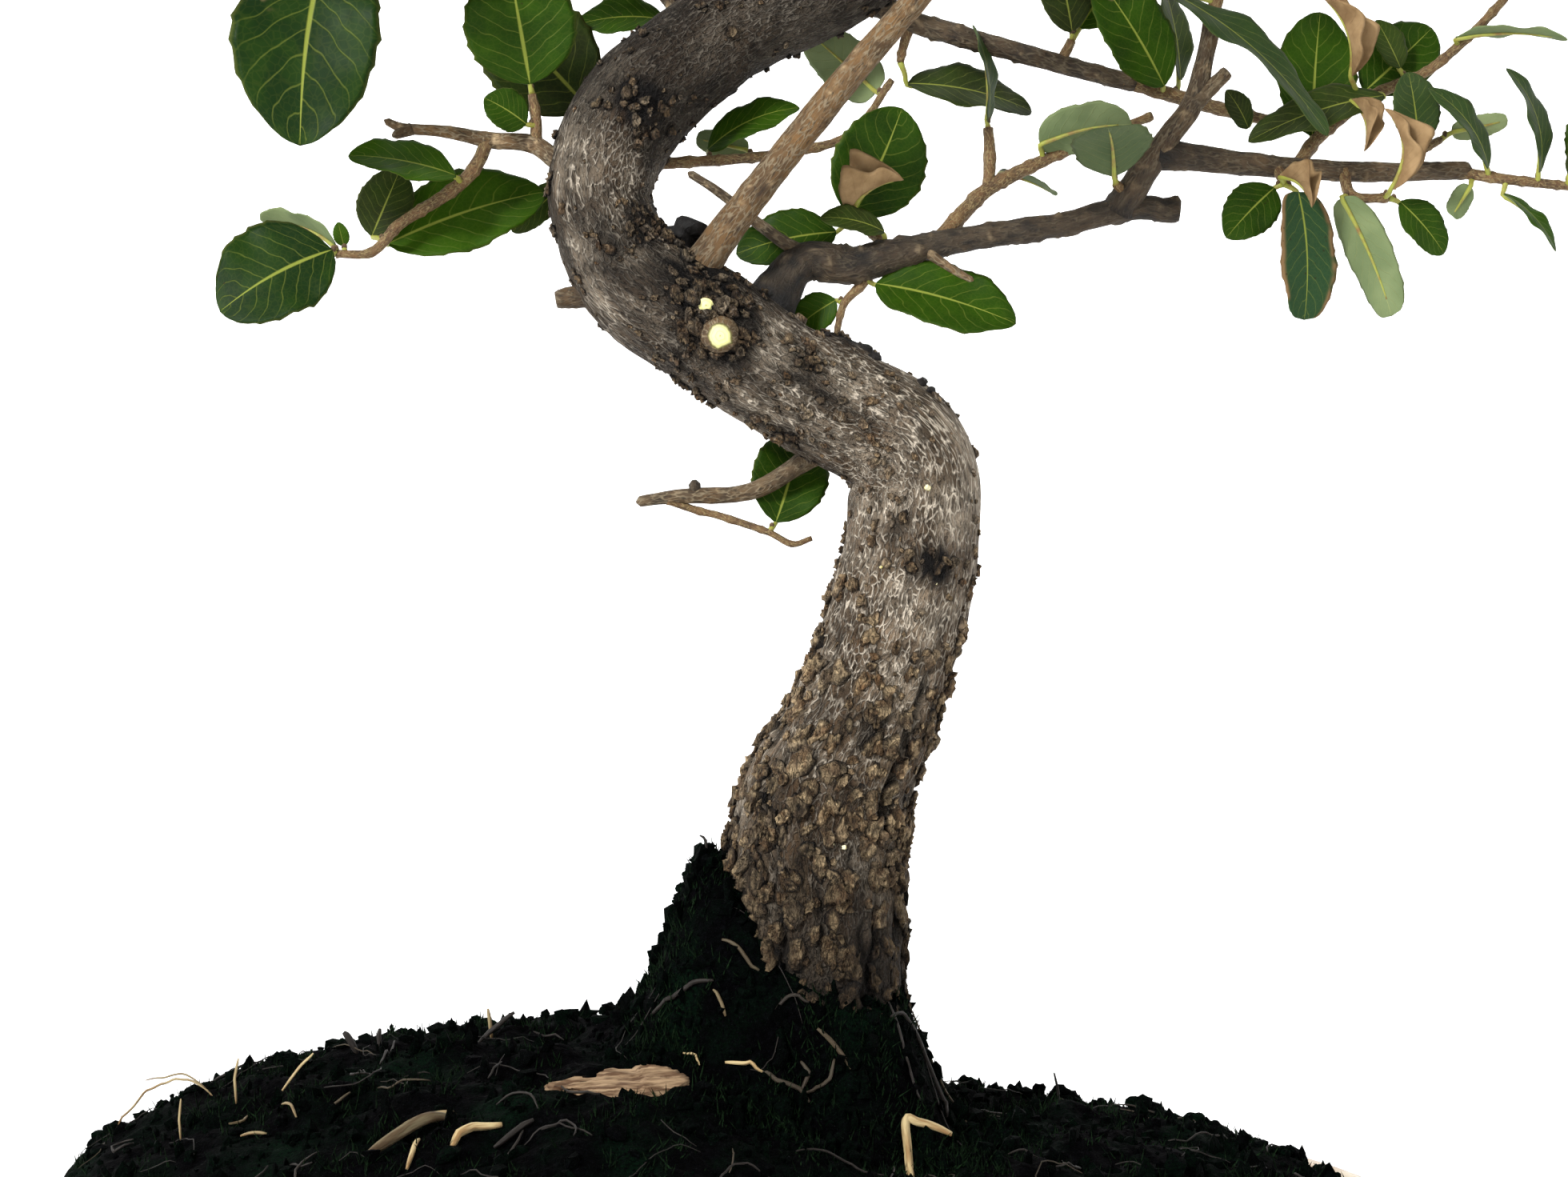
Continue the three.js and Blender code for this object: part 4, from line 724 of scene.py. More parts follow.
def turned(sizes: Array, draw: np.random.Generator) -> Array:
    """Frames turned about the vertical at random.

    Args:
        sizes: three half-lengths of each copy.
        draw: random numbers.

    Returns:
        The three scaled directions of each copy, as columns.
    """
    angle = draw.uniform(0, TURN, len(sizes))
    frames = np.zeros((len(sizes), 3, 3))
    frames[:, 0, 0] = frames[:, 1, 1] = np.cos(angle)
    frames[:, 1, 0] = np.sin(angle)
    frames[:, 0, 1] = -frames[:, 1, 0]
    frames[:, 2, 2] = 1.0
    return frames * sizes[:, None, :]


class Graph:
    """Short calls that add and link the nodes of a material or a node group."""

    def __init__(self, tree: NodeTree) -> None:
        """Starts on a node tree."""
        self.tree = tree

    def add(self, kind: str, values: dict | None = None, **settings: object) -> bpy.types.Node:
        """Adds a node.

        Args:
            kind: class name of the node without its ShaderNode.
            values: values or sockets for its inputs, by name or number.
            settings: properties of the node.

        Returns:
            The node.
        """
        node = self.tree.nodes.new("ShaderNode" + kind)
        for name, value in settings.items():
            setattr(node, name, value)
        for key, value in (values or {}).items():
            self.feed(node.inputs[key], value)
        return node

    def feed(self, socket: Socket, value: object) -> None:
        """Links a socket to an input or sets its value.

        Args:
            socket: the input.
            value: a socket, number, vector or colour.
        """
        if isinstance(value, Socket):
            self.tree.links.new(value, socket)
        elif socket.type == "RGBA" and isinstance(value, tuple) and len(value) == 3:
            socket.default_value = (*value, 1.0)
        else:
            socket.default_value = value

    def math(self, operation: str, *values: object) -> Socket:
        """Result of a Math node."""
        return self.add("Math", dict(enumerate(values)), operation=operation).outputs[0]

    def times(self, first: object, second: object) -> Socket:
        """Product of two values."""
        return self.math("MULTIPLY", first, second)

    def plus(self, first: object, second: object) -> Socket:
        """Sum of two values."""
        return self.math("ADD", first, second)

    def vector(self, operation: str, first: object, second: object) -> Socket:
        """Result of a Vector Math node."""
        return self.add("VectorMath", {0: first, 1: second}, operation=operation).outputs[0]

    def mix(self, share: object, first: object, second: object) -> Socket:
        """Colour between two colours."""
        values = {0: share, 6: first, 7: second}
        return self.add("Mix", values, data_type="RGBA").outputs[2]

    def band(self, value: object, low: float, high: float, start: float = 0.0,
             end: float = 1.0) -> Socket:
        """A value mapped smoothly from one range to another."""
        values = {0: value, 1: low, 2: high, 3: start, 4: end}
        return self.add("MapRange", values, interpolation_type="SMOOTHSTEP").outputs[0]

    def noise(self, vector: object, scale: float, detail: float = 3.0,
              roughness: float = 0.55) -> Socket:
        """Smooth noise from 0 to 1."""
        values = {"Vector": vector, "Scale": scale, "Detail": detail, "Roughness": roughness}
        return self.add("TexNoise", values).outputs[0]

    def cells(self, vector: object, scale: float, feature: str = "F1") -> Socket:
        """Distance in a field of cells."""
        values = {"Vector": vector, "Scale": scale}
        return self.add("TexVoronoi", values, feature=feature).outputs["Distance"]

    def layer(self, name: str) -> Socket:
        """A vertex layer of the piece, as a vector."""
        return self.add("Attribute", attribute_name=name).outputs["Vector"]

    def split(self, vector: object) -> list[Socket]:
        """The three parts of a vector."""
        return list(self.add("SeparateXYZ", {0: vector}).outputs)

    def place(self) -> Socket:
        """Object coordinates."""
        return self.add("TexCoord").outputs["Object"]

    def group(self, tree: NodeTree, values: dict) -> bpy.types.Node:
        """Places a node group.

        Args:
            tree: the group.
            values: values or sockets for its inputs, by name.

        Returns:
            The node.
        """
        node = self.tree.nodes.new("ShaderNodeGroup")
        node.node_tree = tree
        for key, value in values.items():
            self.feed(node.inputs[key], value)
        return node


def new_group(name: str, inputs: dict[str, str],
              outputs: Sequence[str]) -> tuple[Graph, list[Socket], bpy.types.Node]:
    """An empty node group with its sockets.

    Args:
        name: name of the group.
        inputs: socket type of each input, by name.
        outputs: names of the float outputs.

    Returns:
        The graph of the group, its inputs and its output node.
    """
    tree = bpy.data.node_groups.new(name, "ShaderNodeTree")
    for title, kind in inputs.items():
        tree.interface.new_socket(title, in_out="INPUT", socket_type="NodeSocket" + kind)
    for title in outputs:
        tree.interface.new_socket(title, in_out="OUTPUT", socket_type="NodeSocketFloat")
    start, end = tree.nodes.new("NodeGroupInput"), tree.nodes.new("NodeGroupOutput")
    return Graph(tree), [start.outputs[title] for title in inputs], end


def wrinkle_group() -> NodeTree:
    """Wavy raised wrinkles along a stem, patches of tone, and fine pits."""
    inputs = {"Grain": "Vector", "Width": "Float", "Stretch": "Float"}
    graph, (grain, width, stretch), end = new_group(
        "bark_wrinkles", inputs, ("Ridge", "Patch", "Pit"))
    x, y, z = graph.split(grain)
    long = graph.math("DIVIDE", z, stretch)
    squeezed = graph.add("CombineXYZ", {0: x, 1: y, 2: long}).outputs[0]
    cells = graph.add("VectorMath", {0: squeezed, 3: graph.math("DIVIDE", 1.0, width)},
                      operation="SCALE").outputs[0]
    warp = graph.add("TexNoise", {"Vector": cells, "Scale": 0.45, "Detail": 2.0}).outputs[1]
    bent = graph.vector("ADD", cells, graph.vector("MULTIPLY", warp, (2.6, 2.6, 1.6)))
    net = graph.cells(bent, 1.0, "DISTANCE_TO_EDGE")
    broken = graph.band(graph.noise(bent, 0.9, 2.0), 0.35, 0.55)
    line = graph.band(net, 0.03, 0.18, 1.0, 0.0)
    graph.feed(end.inputs["Ridge"], graph.times(line, broken))
    graph.feed(end.inputs["Patch"], graph.band(graph.noise(cells, 0.11, 2.0), 0.38, 0.62))
    graph.feed(end.inputs["Pit"], graph.band(graph.noise(cells, 1.6, 2.0), 0.3, 0.46, 1.0, 0.0))
    return graph.tree


def vein_group() -> NodeTree:
    """Midrib, side veins, net of small veins and rim of a leaf."""
    graph, (blade, pairs), end = new_group(
        "blade_veins", {"Blade": "Vector", "Pairs": "Float"}, ("Rib", "Vein", "Net", "Rim"))
    across, along, seed = graph.split(blade)
    away = graph.math("ABSOLUTE", across)
    thick = graph.band(along, 0.0, 1.0, 0.06, 0.02)
    rib = graph.math("DIVIDE", away, thick)
    graph.feed(end.inputs["Rib"], graph.band(rib, 0.35, 1.0, 1.0, 0.0))
    bent = graph.times(graph.math("POWER", away, 1.25), 0.3)
    wander = graph.noise(blade, 3.0, 1.0)
    lines = graph.times(graph.math("SUBTRACT", along, bent), pairs)
    lines = graph.plus(lines, graph.times(wander, 0.7))
    right = graph.math("GREATER_THAN", across, 0)
    lines = graph.plus(lines, graph.times(right, 0.45))
    near = graph.math("PINGPONG", lines, 0.5)
    fade = graph.band(away, 0.55, 1.0, 1.0, 0.25)
    vein = graph.times(graph.band(near, 0.015, 0.06, 1.0, 0.0), fade)
    graph.feed(end.inputs["Vein"], vein)
    flat = graph.add("CombineXYZ", {0: across, 1: graph.times(along, 3.0), 2: seed})
    net = graph.cells(flat.outputs[0], 9.0, "DISTANCE_TO_EDGE")
    graph.feed(end.inputs["Net"], graph.band(net, 0.02, 0.12, 1.0, 0.0))
    graph.feed(end.inputs["Rim"], graph.band(away, 0.93, 1.0))
    return graph.tree


@dataclass(frozen=True)
class Finish:
    """What every finish has: a name, a gloss, how deep its bump is, and the group it reads."""

    name: str
    group: NodeTree | None = None
    roughness: float = 0.8
    bump: float = 0.3
    depth: float = 0.0004
    shine: float = 0.4

    def paint(self, graph: Graph) -> Coat:
        """Draws the nodes of the finish, which every finish does in its own way.

        Args:
            graph: graph of the material.

        Returns:
            What the shader's inputs are fed with, and the height of the bump.
        """
        raise NotImplementedError

    def build(self) -> Material:
        """The material of the finish."""
        material = bpy.data.materials.new(self.name)
        material.use_nodes = True
        material.node_tree.nodes.clear()
        graph = Graph(material.node_tree)
        values = {"Roughness": self.roughness, "Specular IOR Level": self.shine}
        surface = graph.add("BsdfPrincipled", values)
        graph.add("OutputMaterial", {"Surface": surface.outputs[0]})
        inputs, height = self.paint(graph)
        bump = {"Strength": self.bump, "Distance": self.depth, "Height": height}
        inputs["Normal"] = graph.add("Bump", bump).outputs[0]
        for title, value in inputs.items():
            graph.feed(surface.inputs[title], value)
        return material


@dataclass(frozen=True)
class Bark(Finish):
    """Grey-brown corky bark. Its marks are wart, darkness with painted shade, and warmth."""

    deep: Colour = rgb(34, 28, 22)
    middle: Colour = rgb(84, 73, 60)
    pale: Colour = rgb(140, 127, 110)
    ridge: Colour = rgb(204, 191, 172)
    gold: Colour = rgb(204, 178, 138)
    warm: Colour = rgb(108, 78, 50)
    wrinkle: float = 1.2
    stretch: float = 2.6

    def paint(self, graph: Graph) -> Coat:
        """Bark, from the shared group of wrinkles."""
        grain = graph.layer("grain")
        wart, dark_and_shade, warmth = graph.split(graph.layer("marks"))
        values = {"Grain": grain, "Width": self.wrinkle * MM, "Stretch": self.stretch}
        skin = graph.group(self.group, values)
        ridge, patch, pit = (skin.outputs[name] for name in ("Ridge", "Patch", "Pit"))
        colour = graph.mix(patch, self.middle, self.pale)
        colour = graph.mix(warmth, colour, self.warm)
        mottle = graph.band(graph.noise(grain, 160.0, 2.0), 0.35, 0.7)
        colour = graph.mix(graph.times(mottle, 0.6), colour, self.deep)
        level = graph.split(graph.place())[2]
        clean = graph.times(graph.band(level, 0.11, 0.2, 0.2, 0.85),
                           graph.band(wart, 0.0, 0.3, 1.0, 0.0))
        # Ridges fade where the bark is darkened, by its own dark or by painted shade.
        clean = graph.times(clean, graph.band(dark_and_shade, 0.1, 0.9, 1.0, 0.5))
        colour = graph.mix(graph.times(ridge, clean), colour, self.ridge)
        brown = graph.band(graph.noise(grain, 330.0, 2.0), 0.4, 0.62)
        golden = graph.mix(brown, self.gold, rgb(110, 88, 64))
        colour = graph.mix(wart, colour, golden)
        # Darker towards the soil at the foot.
        foot_darkening = graph.band(level, 0.105, 0.185, 0.95, 0.0)
        colour = graph.mix(foot_darkening, colour, graph.mix(wart, rgb(20, 17, 14), rgb(72, 58, 42)))
        colour = graph.mix(graph.times(pit, 0.6), colour, self.deep)
        # The second mark darkens the bark: its own dark parts, and painted shade on the bend, the
        # top, creases, warts' sides and limbs' bases.
        colour = graph.mix(dark_and_shade, colour, rgb(16, 13, 11))
        height = graph.math("SUBTRACT", ridge, graph.times(pit, 0.6))
        fine = graph.times(graph.noise(grain, 1400.0, 1.0), 0.8)
        return {"Base Color": colour}, graph.plus(height, fine)


@dataclass(frozen=True)
class CutWood(Finish):
    """Sawn end of a limb: rings round a pith."""

    heart: Colour = rgb(236, 232, 158)
    ring: Colour = rgb(204, 196, 112)
    rim: Colour = rgb(84, 78, 38)
    radius: float = 3.0

    def paint(self, graph: Graph) -> Coat:
        """Rings, a dark rim and a dark pith."""
        x, y, _ = graph.split(graph.layer("grain"))
        flat = graph.add("CombineXYZ", {0: x, 1: y}).outputs[0]
        away = graph.add("VectorMath", {0: flat}, operation="LENGTH").outputs[1]
        wobble = graph.times(graph.noise(flat, 500.0, 2.0), 0.0007)
        share = graph.math("DIVIDE", graph.plus(away, wobble), self.radius * MM)
        rings = graph.math("PINGPONG", graph.times(share, 3.0), 0.5)
        colour = graph.mix(graph.band(rings, 0.3, 0.5, 0.0, 0.6), self.heart, self.ring)
        colour = graph.mix(graph.band(share, 0.86, 1.1), colour, self.rim)
        colour = graph.mix(graph.band(share, 0.12, 0.2, 0.8, 0.0), colour, self.rim)
        return {"Base Color": colour}, rings


@dataclass(frozen=True)
class LeafTop(Finish):
    """Glossy top of a leaf. Its marks are tone, dryness and blueness."""

    dark: Colour = rgb(20, 38, 10)
    light: Colour = rgb(48, 74, 15)
    blue: Colour = rgb(42, 64, 42)
    vein: Colour = rgb(134, 142, 62)
    rim: Colour = rgb(112, 118, 62)
    dry: Colour = rgb(152, 126, 92)
    dry_deep: Colour = rgb(118, 94, 66)
    pairs: float = VEIN_PAIRS
    relief: float = -0.6

    def paint(self, graph: Graph) -> Coat:
        """A blade, from the shared group of veins."""
        blade = graph.layer("blade")
        tone, dryness, blueness = graph.split(graph.layer("marks"))
        lines = graph.group(self.group, {"Blade": blade, "Pairs": self.pairs})
        rib, vein, net, rim = (lines.outputs[name] for name in ("Rib", "Vein", "Net", "Rim"))
        place = graph.place()
        cloud = graph.band(graph.noise(place, 110.0, 2.0), 0.3, 0.7)
        drift = graph.times(graph.math("SUBTRACT", cloud, 0.5), 0.35)
        tone = graph.plus(tone, drift)
        colour = graph.mix(tone, self.dark, self.light)
        colour = graph.mix(blueness, colour, self.blue)
        for mask, share in ((net, 0.03), (vein, 0.2), (rib, 0.75)):
            colour = graph.mix(graph.times(mask, share), colour, self.vein)
        colour = graph.mix(graph.times(rim, 0.35), colour, self.rim)
        edge = graph.times(graph.band(graph.noise(place, 95.0, 2.0), 0.42, 0.5),
                          graph.band(blueness, 0.7, 0.9))
        side = graph.band(graph.math("ABSOLUTE", graph.split(blade)[0]), 0.76, 0.92)
        colour = graph.mix(graph.times(side, edge), colour, self.dry_deep)
        specks = graph.band(graph.cells(place, 420.0), 0.05, 0.16, 1.0, 0.0)
        sparse = graph.band(graph.noise(place, 60.0, 1.0), 0.6, 0.68)
        blotch = graph.times(specks, graph.math("MAXIMUM", sparse, blueness))
        colour = graph.mix(graph.times(blotch, 0.7), colour, rgb(46, 36, 24))
        rusty = graph.band(graph.noise(place, 75.0, 2.0), 0.71, 0.76)
        colour = graph.mix(graph.times(rusty, 0.65), colour, self.dry)
        mottle = graph.band(graph.noise(place, 150.0, 4.0), 0.3, 0.7)
        colour = graph.mix(dryness, colour, graph.mix(mottle, self.dry, self.dry_deep))
        gloss = graph.times(graph.noise(place, 240.0, 1.0), 0.16)
        gloss = graph.plus(gloss, self.roughness - 0.08)
        gloss = graph.plus(gloss, graph.times(dryness, 0.3))
        height = graph.plus(rib, graph.times(vein, 0.7))
        inputs = {"Base Color": colour, "Roughness": gloss}
        return inputs, graph.times(height, self.relief)


@dataclass(frozen=True)
class Shoot(Finish):
    """Yellow-green petiole or young twig."""

    green: Colour = rgb(142, 146, 62)
    brown: Colour = rgb(128, 98, 58)

    def paint(self, graph: Graph) -> Coat:
        """Green with brown patches."""
        grain = graph.layer("grain")
        share = graph.band(graph.noise(grain, 260.0, 3.0), 0.42, 0.68)
        inputs = {"Base Color": graph.mix(share, self.green, self.brown)}
        return inputs, graph.noise(grain, 1800.0)


@dataclass(frozen=True)
class Earth(Finish):
    """Dark crumbly soil with green patches. Its first mark is how mossy it is."""

    deep: Colour = rgb(1, 2, 4)
    crumb: Colour = rgb(13, 13, 15)
    moss: Colour = rgb(13, 27, 18)
    green: float = 0.7

    def paint(self, graph: Graph) -> Coat:
        """Lumps, and moss where the mark or a patch says so."""
        place = graph.place()
        mossy = graph.split(graph.layer("marks"))[0]
        lump = graph.band(graph.noise(place, 620.0, 3.0, 0.7), 0.42, 0.75)
        colour = graph.mix(lump, self.deep, self.crumb)
        patch = graph.band(graph.noise(place, 70.0, 2.0), 0.46, 0.62)
        patch = graph.math("MAXIMUM", graph.times(patch, 0.45), mossy)
        fine = graph.band(graph.noise(place, 1500.0, 2.0), 0.3, 0.6)
        share = graph.times(graph.times(patch, fine), self.green)
        inputs = {"Base Color": graph.mix(share, colour, self.moss)}
        return inputs, graph.noise(place, 800.0, 3.0, 0.7)


@dataclass(frozen=True)
class Glaze(Finish):
    """Cream glaze with fine crackle, thin and brown along edges. Its first mark is an edge."""

    cream: Colour = rgb(206, 194, 166)
    cloud: Colour = rgb(184, 166, 132)
    clay: Colour = rgb(146, 104, 72)
    crackle: Colour = rgb(158, 138, 108)

    def paint(self, graph: Graph) -> Coat:
        """Clouded glaze with its crackle."""
        place = graph.place()
        edge = graph.split(graph.layer("marks"))[0]
        cloudy = graph.band(graph.noise(place, 22.0, 4.0), 0.35, 0.7)
        colour = graph.mix(cloudy, self.cream, self.cloud)
        warp = graph.add("TexNoise", {"Vector": place, "Scale": 60.0}).outputs[1]
        bent = graph.vector("ADD", place, graph.vector("MULTIPLY", warp, (0.006, 0.006, 0.006)))
        crack = graph.band(graph.cells(bent, 95.0, "DISTANCE_TO_EDGE"), 0.012, 0.035, 1.0, 0.0)
        colour = graph.mix(graph.times(crack, 0.45), colour, self.crackle)
        thin = graph.times(edge, graph.band(graph.noise(place, 140.0, 3.0), 0.25, 0.7))
        gloss = graph.band(graph.noise(place, 90.0), 0.3, 0.7, self.roughness, self.roughness + 0.14)
        inputs = {"Base Color": graph.mix(thin, colour, self.clay), "Roughness": gloss}
        return inputs, graph.math("SUBTRACT", graph.noise(place, 45.0), crack)


@dataclass(frozen=True)
class Fibre(Finish):
    """Dry fibrous stuff: straw, rootlets and chips of wood. Its first mark turns it dark."""

    pale: Colour = rgb(196, 176, 130)
    tan: Colour = rgb(144, 112, 72)
    dark: Colour = rgb(30, 24, 19)

    def paint(self, graph: Graph) -> Coat:
        """Streaks along the grain."""
        grain = graph.layer("grain")
        mark = graph.split(graph.layer("marks"))[0]
        drawn = graph.vector("MULTIPLY", grain, (900.0, 900.0, 120.0))
        streak = graph.band(graph.noise(drawn, 1.0, 3.0), 0.35, 0.65)
        colour = graph.mix(streak, self.pale, self.tan)
        colour = graph.mix(graph.band(mark, 0.0, 0.75), colour, self.dark)
        return {"Base Color": colour}, streak


@dataclass(frozen=True)
class Plain(Finish):
    """Plain moulded or painted surface with a faint grain."""

    tone: Colour = rgb(240, 240, 240)
    shade: Colour = rgb(236, 236, 236)
    scale: float = 60.0
    glow: float = 0.0

    def paint(self, graph: Graph) -> Coat:
        """Grain between two tones, and a glow where there is one."""
        inputs = {}
        if self.glow:
            behind = graph.band(graph.split(graph.place())[1], -1.6, 1.6, 0.0, self.glow)
            inputs = {"Emission Color": (1.0, 1.0, 1.0), "Emission Strength": behind}
        grain = graph.noise(graph.place(), self.scale)
        inputs["Base Color"] = graph.mix(grain, self.tone, self.shade)
        return inputs, grain


@dataclass
class Studio:
    """Pale round cove, soft lamps and the camera at the viewer's eye."""

    radius: float = 3.2
    cove: float = 0.9
    wall: float = 3.4
    lens: float = 55.1
    sensor: float = 36.0
    sky: float = 0.16
    aim: Point = (0.0, 0.0, 0.28)
    # Name, place and side in metres, and power in watts of each lamp.
    lamps: tuple[tuple[str, Point, float, float], ...] = (
        ("key", (-1.0, -1.3, 1.1), 0.35, 42.0),
        ("fill", (1.5, -1.2, 0.7), 1.2, 3.0),
        ("top", (0.2, 0.5, 1.9), 1.2, 8.0),
    )

    def backdrop(self) -> None:
        """Spins the floor and wall of the cove round the tree."""
        bm = bmesh.new()
        bend = [
            (self.radius - self.cove * (1 - math.sin(a)), self.cove * (1 - math.cos(a)))
            for a in np.linspace(0, math.pi / 2, 10)
        ]
        outline = [(0.0, 0.0), *bend, (self.radius, self.wall)]
        chain = [bm.verts.new((x, 0.0, z)) for x, z in outline]
        edges = [bm.edges.new(pair) for pair in zip(chain, chain[1:])]
        bmesh.ops.spin(bm, geom=chain + edges, cent=(0, 0, 0), axis=(0, 0, 1), angle=TURN,
                       steps=96, use_merge=True)
        bmesh.ops.remove_doubles(bm, verts=bm.verts, dist=1e-6)
        bmesh.ops.recalc_face_normals(bm, faces=bm.faces)
        mesh = bpy.data.meshes.new("backdrop")
        bm.to_mesh(mesh)
        bm.free()
        for polygon in mesh.polygons:
            polygon.use_smooth = True
        floor_finish = Plain("pale_floor", roughness=0.95, bump=0.02, glow=0.85).build()
        floor_finish.cycles.emission_sampling = "NONE"
        mesh.materials.append(floor_finish)
        place_in_scene("backdrop", mesh)

    def lamp(self, name: str, place: Point, size: float, power: float) -> None:
        """Adds a square soft lamp that points at the trunk.

        Args:
            name: its name.
            place: where it hangs, in metres.
            size: its side in metres.
            power: its power in watts.
        """
        light = bpy.data.lights.new(name, "AREA")
        light.shape, light.size, light.energy = "SQUARE", size, power
        lamp = place_in_scene(name, light)
        lamp.location = place
        lamp.rotation_mode = "QUATERNION"
        way = Vector(self.aim) - Vector(place)
        lamp.rotation_quaternion = way.to_track_quat("-Z", "Y")

    def camera(self) -> None:
        """Adds the camera, level and facing +Y."""
        data = bpy.data.cameras.new("camera")
        data.sensor_width, data.lens = self.sensor, self.lens
        data.clip_start, data.clip_end = 0.02, 50.0
        camera = place_in_scene("camera", data)
        camera.location = EYE
        camera.rotation_euler = (math.pi / 2, 0.0, 0.0)
        bpy.context.scene.camera = camera

    def build(self) -> None:
        """Builds the backdrop, the lamps, the sky light and the camera."""
        scene = bpy.context.scene
        scene.view_settings.view_transform = "Standard"
        world = bpy.data.worlds.new("studio")
        world.use_nodes = True
        sky = world.node_tree.nodes["Background"]
        sky.inputs["Color"].default_value = (1.0, 1.0, 1.0, 1.0)
        sky.inputs["Strength"].default_value = self.sky
        scene.world = world
        self.backdrop()
        for lamp in self.lamps:
            self.lamp(*lamp)
        self.camera()


@dataclass(frozen=True)
class Zone:
    """A part of the trunk's skin that stands out: its place and reach, and what it adds there.

    Height is in millimetres. Dark, warm, warts and calm are shares, calm being how much
    smoother and freer of warts it is.
    """

    at: Point
    reach: float
    height: float = 0.0
    dark: float = 0.0
    warm: float = 0.0
    warts: float = 0.0
    calm: float = 0.0


@dataclass
class Skin:
    """Surface of the trunk: heights, masks of the bark and how many warts sit where."""

    heights: Array
    marks: Array
    warts: Array
    low: Array


@dataclass
class Trunk:
    """The trunk: a sinuous stem with wrinkles, warts in clusters and cork plates at its foot.

    It is dressed in bark, and in a finish for the small pale and black things stuck to it.
    """

    bark: Material
    speck: Material
    sides: int = 132
    spacing: float = 0.95
    wart_count: int = 2300
    # Heights in millimetres between which the skin changes: down to cork plates and into the
    # soil, and up to the bend and the top with painted shade, and where calm skin gets it too.
    plates: tuple[float, float] = (150, 250)
    buried: tuple[float, float] = (78, 96)
    shaded_bend: tuple[float, float] = (252, 285)
    shaded_top: tuple[float, float] = (310, 350)
    shaded_calm: tuple[float, float] = (325, 350)
    zones: list[Zone] = field(default_factory=lambda: [
        Zone((2, -18, 279), 17, height=1.2, dark=0.3, warts=0.8),
        Zone((-4, -14, 290), 14, height=0.8, dark=0.35, warts=0.9),
        Zone((54, -12, 220), 8, height=1.6, dark=0.95, warts=0.5),
        Zone((-18, -11, 335), 9, height=2.0, dark=0.55, warm=0.9, warts=0.6),
        Zone((-20, -8, 300), 15, height=1.0, dark=0.3, warts=0.9),
        Zone((34, 0, 274), 10, height=1.6, dark=0.7, warts=0.6),
        Zone((24, -14, 258), 22, dark=0.3, warts=0.45),
        Zone((40, -16, 236), 14, warts=0.35),
        Zone((46, -16, 208), 15, calm=1.0),
        Zone((2, -20, 277.4), 5.5, calm=1.0),
        Zone((-1.5, -19, 284.6), 4.5, calm=1.0),
        Zone((62, -6, 246), 15, calm=0.8),
        Zone((-28, -12, 320), 17, calm=0.4),
        Zone((10, -10, 360), 24, calm=0.6),
    ])

    def skin(self, course: Course) -> Skin:
        """Heights, masks and density of warts of the trunk's surface.

        Args:
            course: the trunk's axis.

        Returns:
            The skin, rows by columns.
        """
        rows = len(course.run)
        heights, warts, lows = (np.zeros((rows, self.sides)) for _ in range(3))
        marks = np.zeros((rows, self.sides, 3))
        zones = [(seen(zone.at) / MM, zone) for zone in self.zones]
        for i in range(rows):
            level, run, radius = (value / MM for value in
                                  (course.at[i][2], course.run[i], course.radius[i]))
            bands = (self.plates, self.buried, self.shaded_bend, self.shaded_top, self.shaded_calm)
            above, free, bent, top, gone = (float(smooth_step(level, *band)) for band in bands)
            low, buried = 1 - above, 1 - free
            near = [(at, zone) for at, zone in zones
                    if np.linalg.norm(at - course.at[i] / MM) < zone.reach + radius + 4]
            for k in range(self.sides):
                angle = TURN * k / self.sides
                cosine, sine = math.cos(angle), math.sin(angle)
                place = Vector((radius * cosine, radius * sine, run))
                out = course.side[i] * cosine + course.up[i] * sine
                lift, dark, warm, extra, calm = self.added(course.at[i] / MM + out * radius, near)
                wave = noise.noise(Vector((place.x / 1.6, place.y / 1.6, place.z / 5.0)))
                broad = fractal(place / 13.0, 2)
                plate = fractal((place.x / 5.0, place.y / 5.0, place.z / 20.0), 3)
                # Splits between cork plates: sunk, and darkened with painted shade.
                split = max(0.0, -plate - 0.2) * 2.5 * low
                rough = 1 - 0.6 * min(1.0, calm)
                heights[i, k] = lift + rough * (0.3 * wave + low * plate - 0.8 * split) + 0.5 * broad
                cluster = noise.noise(Vector((place.x / 9, place.y / 9, place.z / 16)))
                share = 0.05 + max(0.0, cluster - 0.15) * 0.9 + low * (0.34 + 0.3 * plate) + extra
                warts[i, k] = share * (1 - min(1.0, calm)) * (1 - buried)
                lows[i, k] = low
                # Painted shade: the bend and the top in shade and the skin between crowded warts,
                # with noise patches; calm zones stay mostly clear of it, less so at the top.
                painted_shade = 0.07 + 0.55 * bent + 0.45 * (broad + plate)
                painted_shade += 0.62 * top + 0.5 * max(0.0, share - 0.2)
                clear = min(1.0, calm * 1.4) * (1 - 0.8 * gone)
                painted_shade = min(0.8, max(0.0, painted_shade)) * (1 - clear)
                shade = min(0.8, split) + dark * (0.8 + wave) + painted_shade
                hue = 0.1 + 0.3 * broad + 0.3 * low * (plate > 0) + warm
                marks[i, k] = (0.25 * low * max(0.0, plate), shade, hue)
            heights[i] *= min(1.0, radius / 12) * (1 - buried) * MM
        return Skin(heights, np.clip(marks, 0.0, 1.0), warts, lows)

    @staticmethod
    def added(place: Array, near: list[tuple[Array, Zone]]) -> Array:
        """What the zones add at a place of the skin.

        Args:
            place: the place in millimetres.
            near: zones near it, each with its middle in millimetres.

        Returns:
            Height, dark, warm, warts and calm.
        """
        added = np.zeros(5)
        for middle, zone in near:
            gap = float(np.linalg.norm(place - middle))
            share = max(0.0, 1 - (gap / zone.reach) ** 2) ** 2
            added += share * np.array((zone.height, zone.dark, zone.warm, zone.warts, zone.calm))
        return added

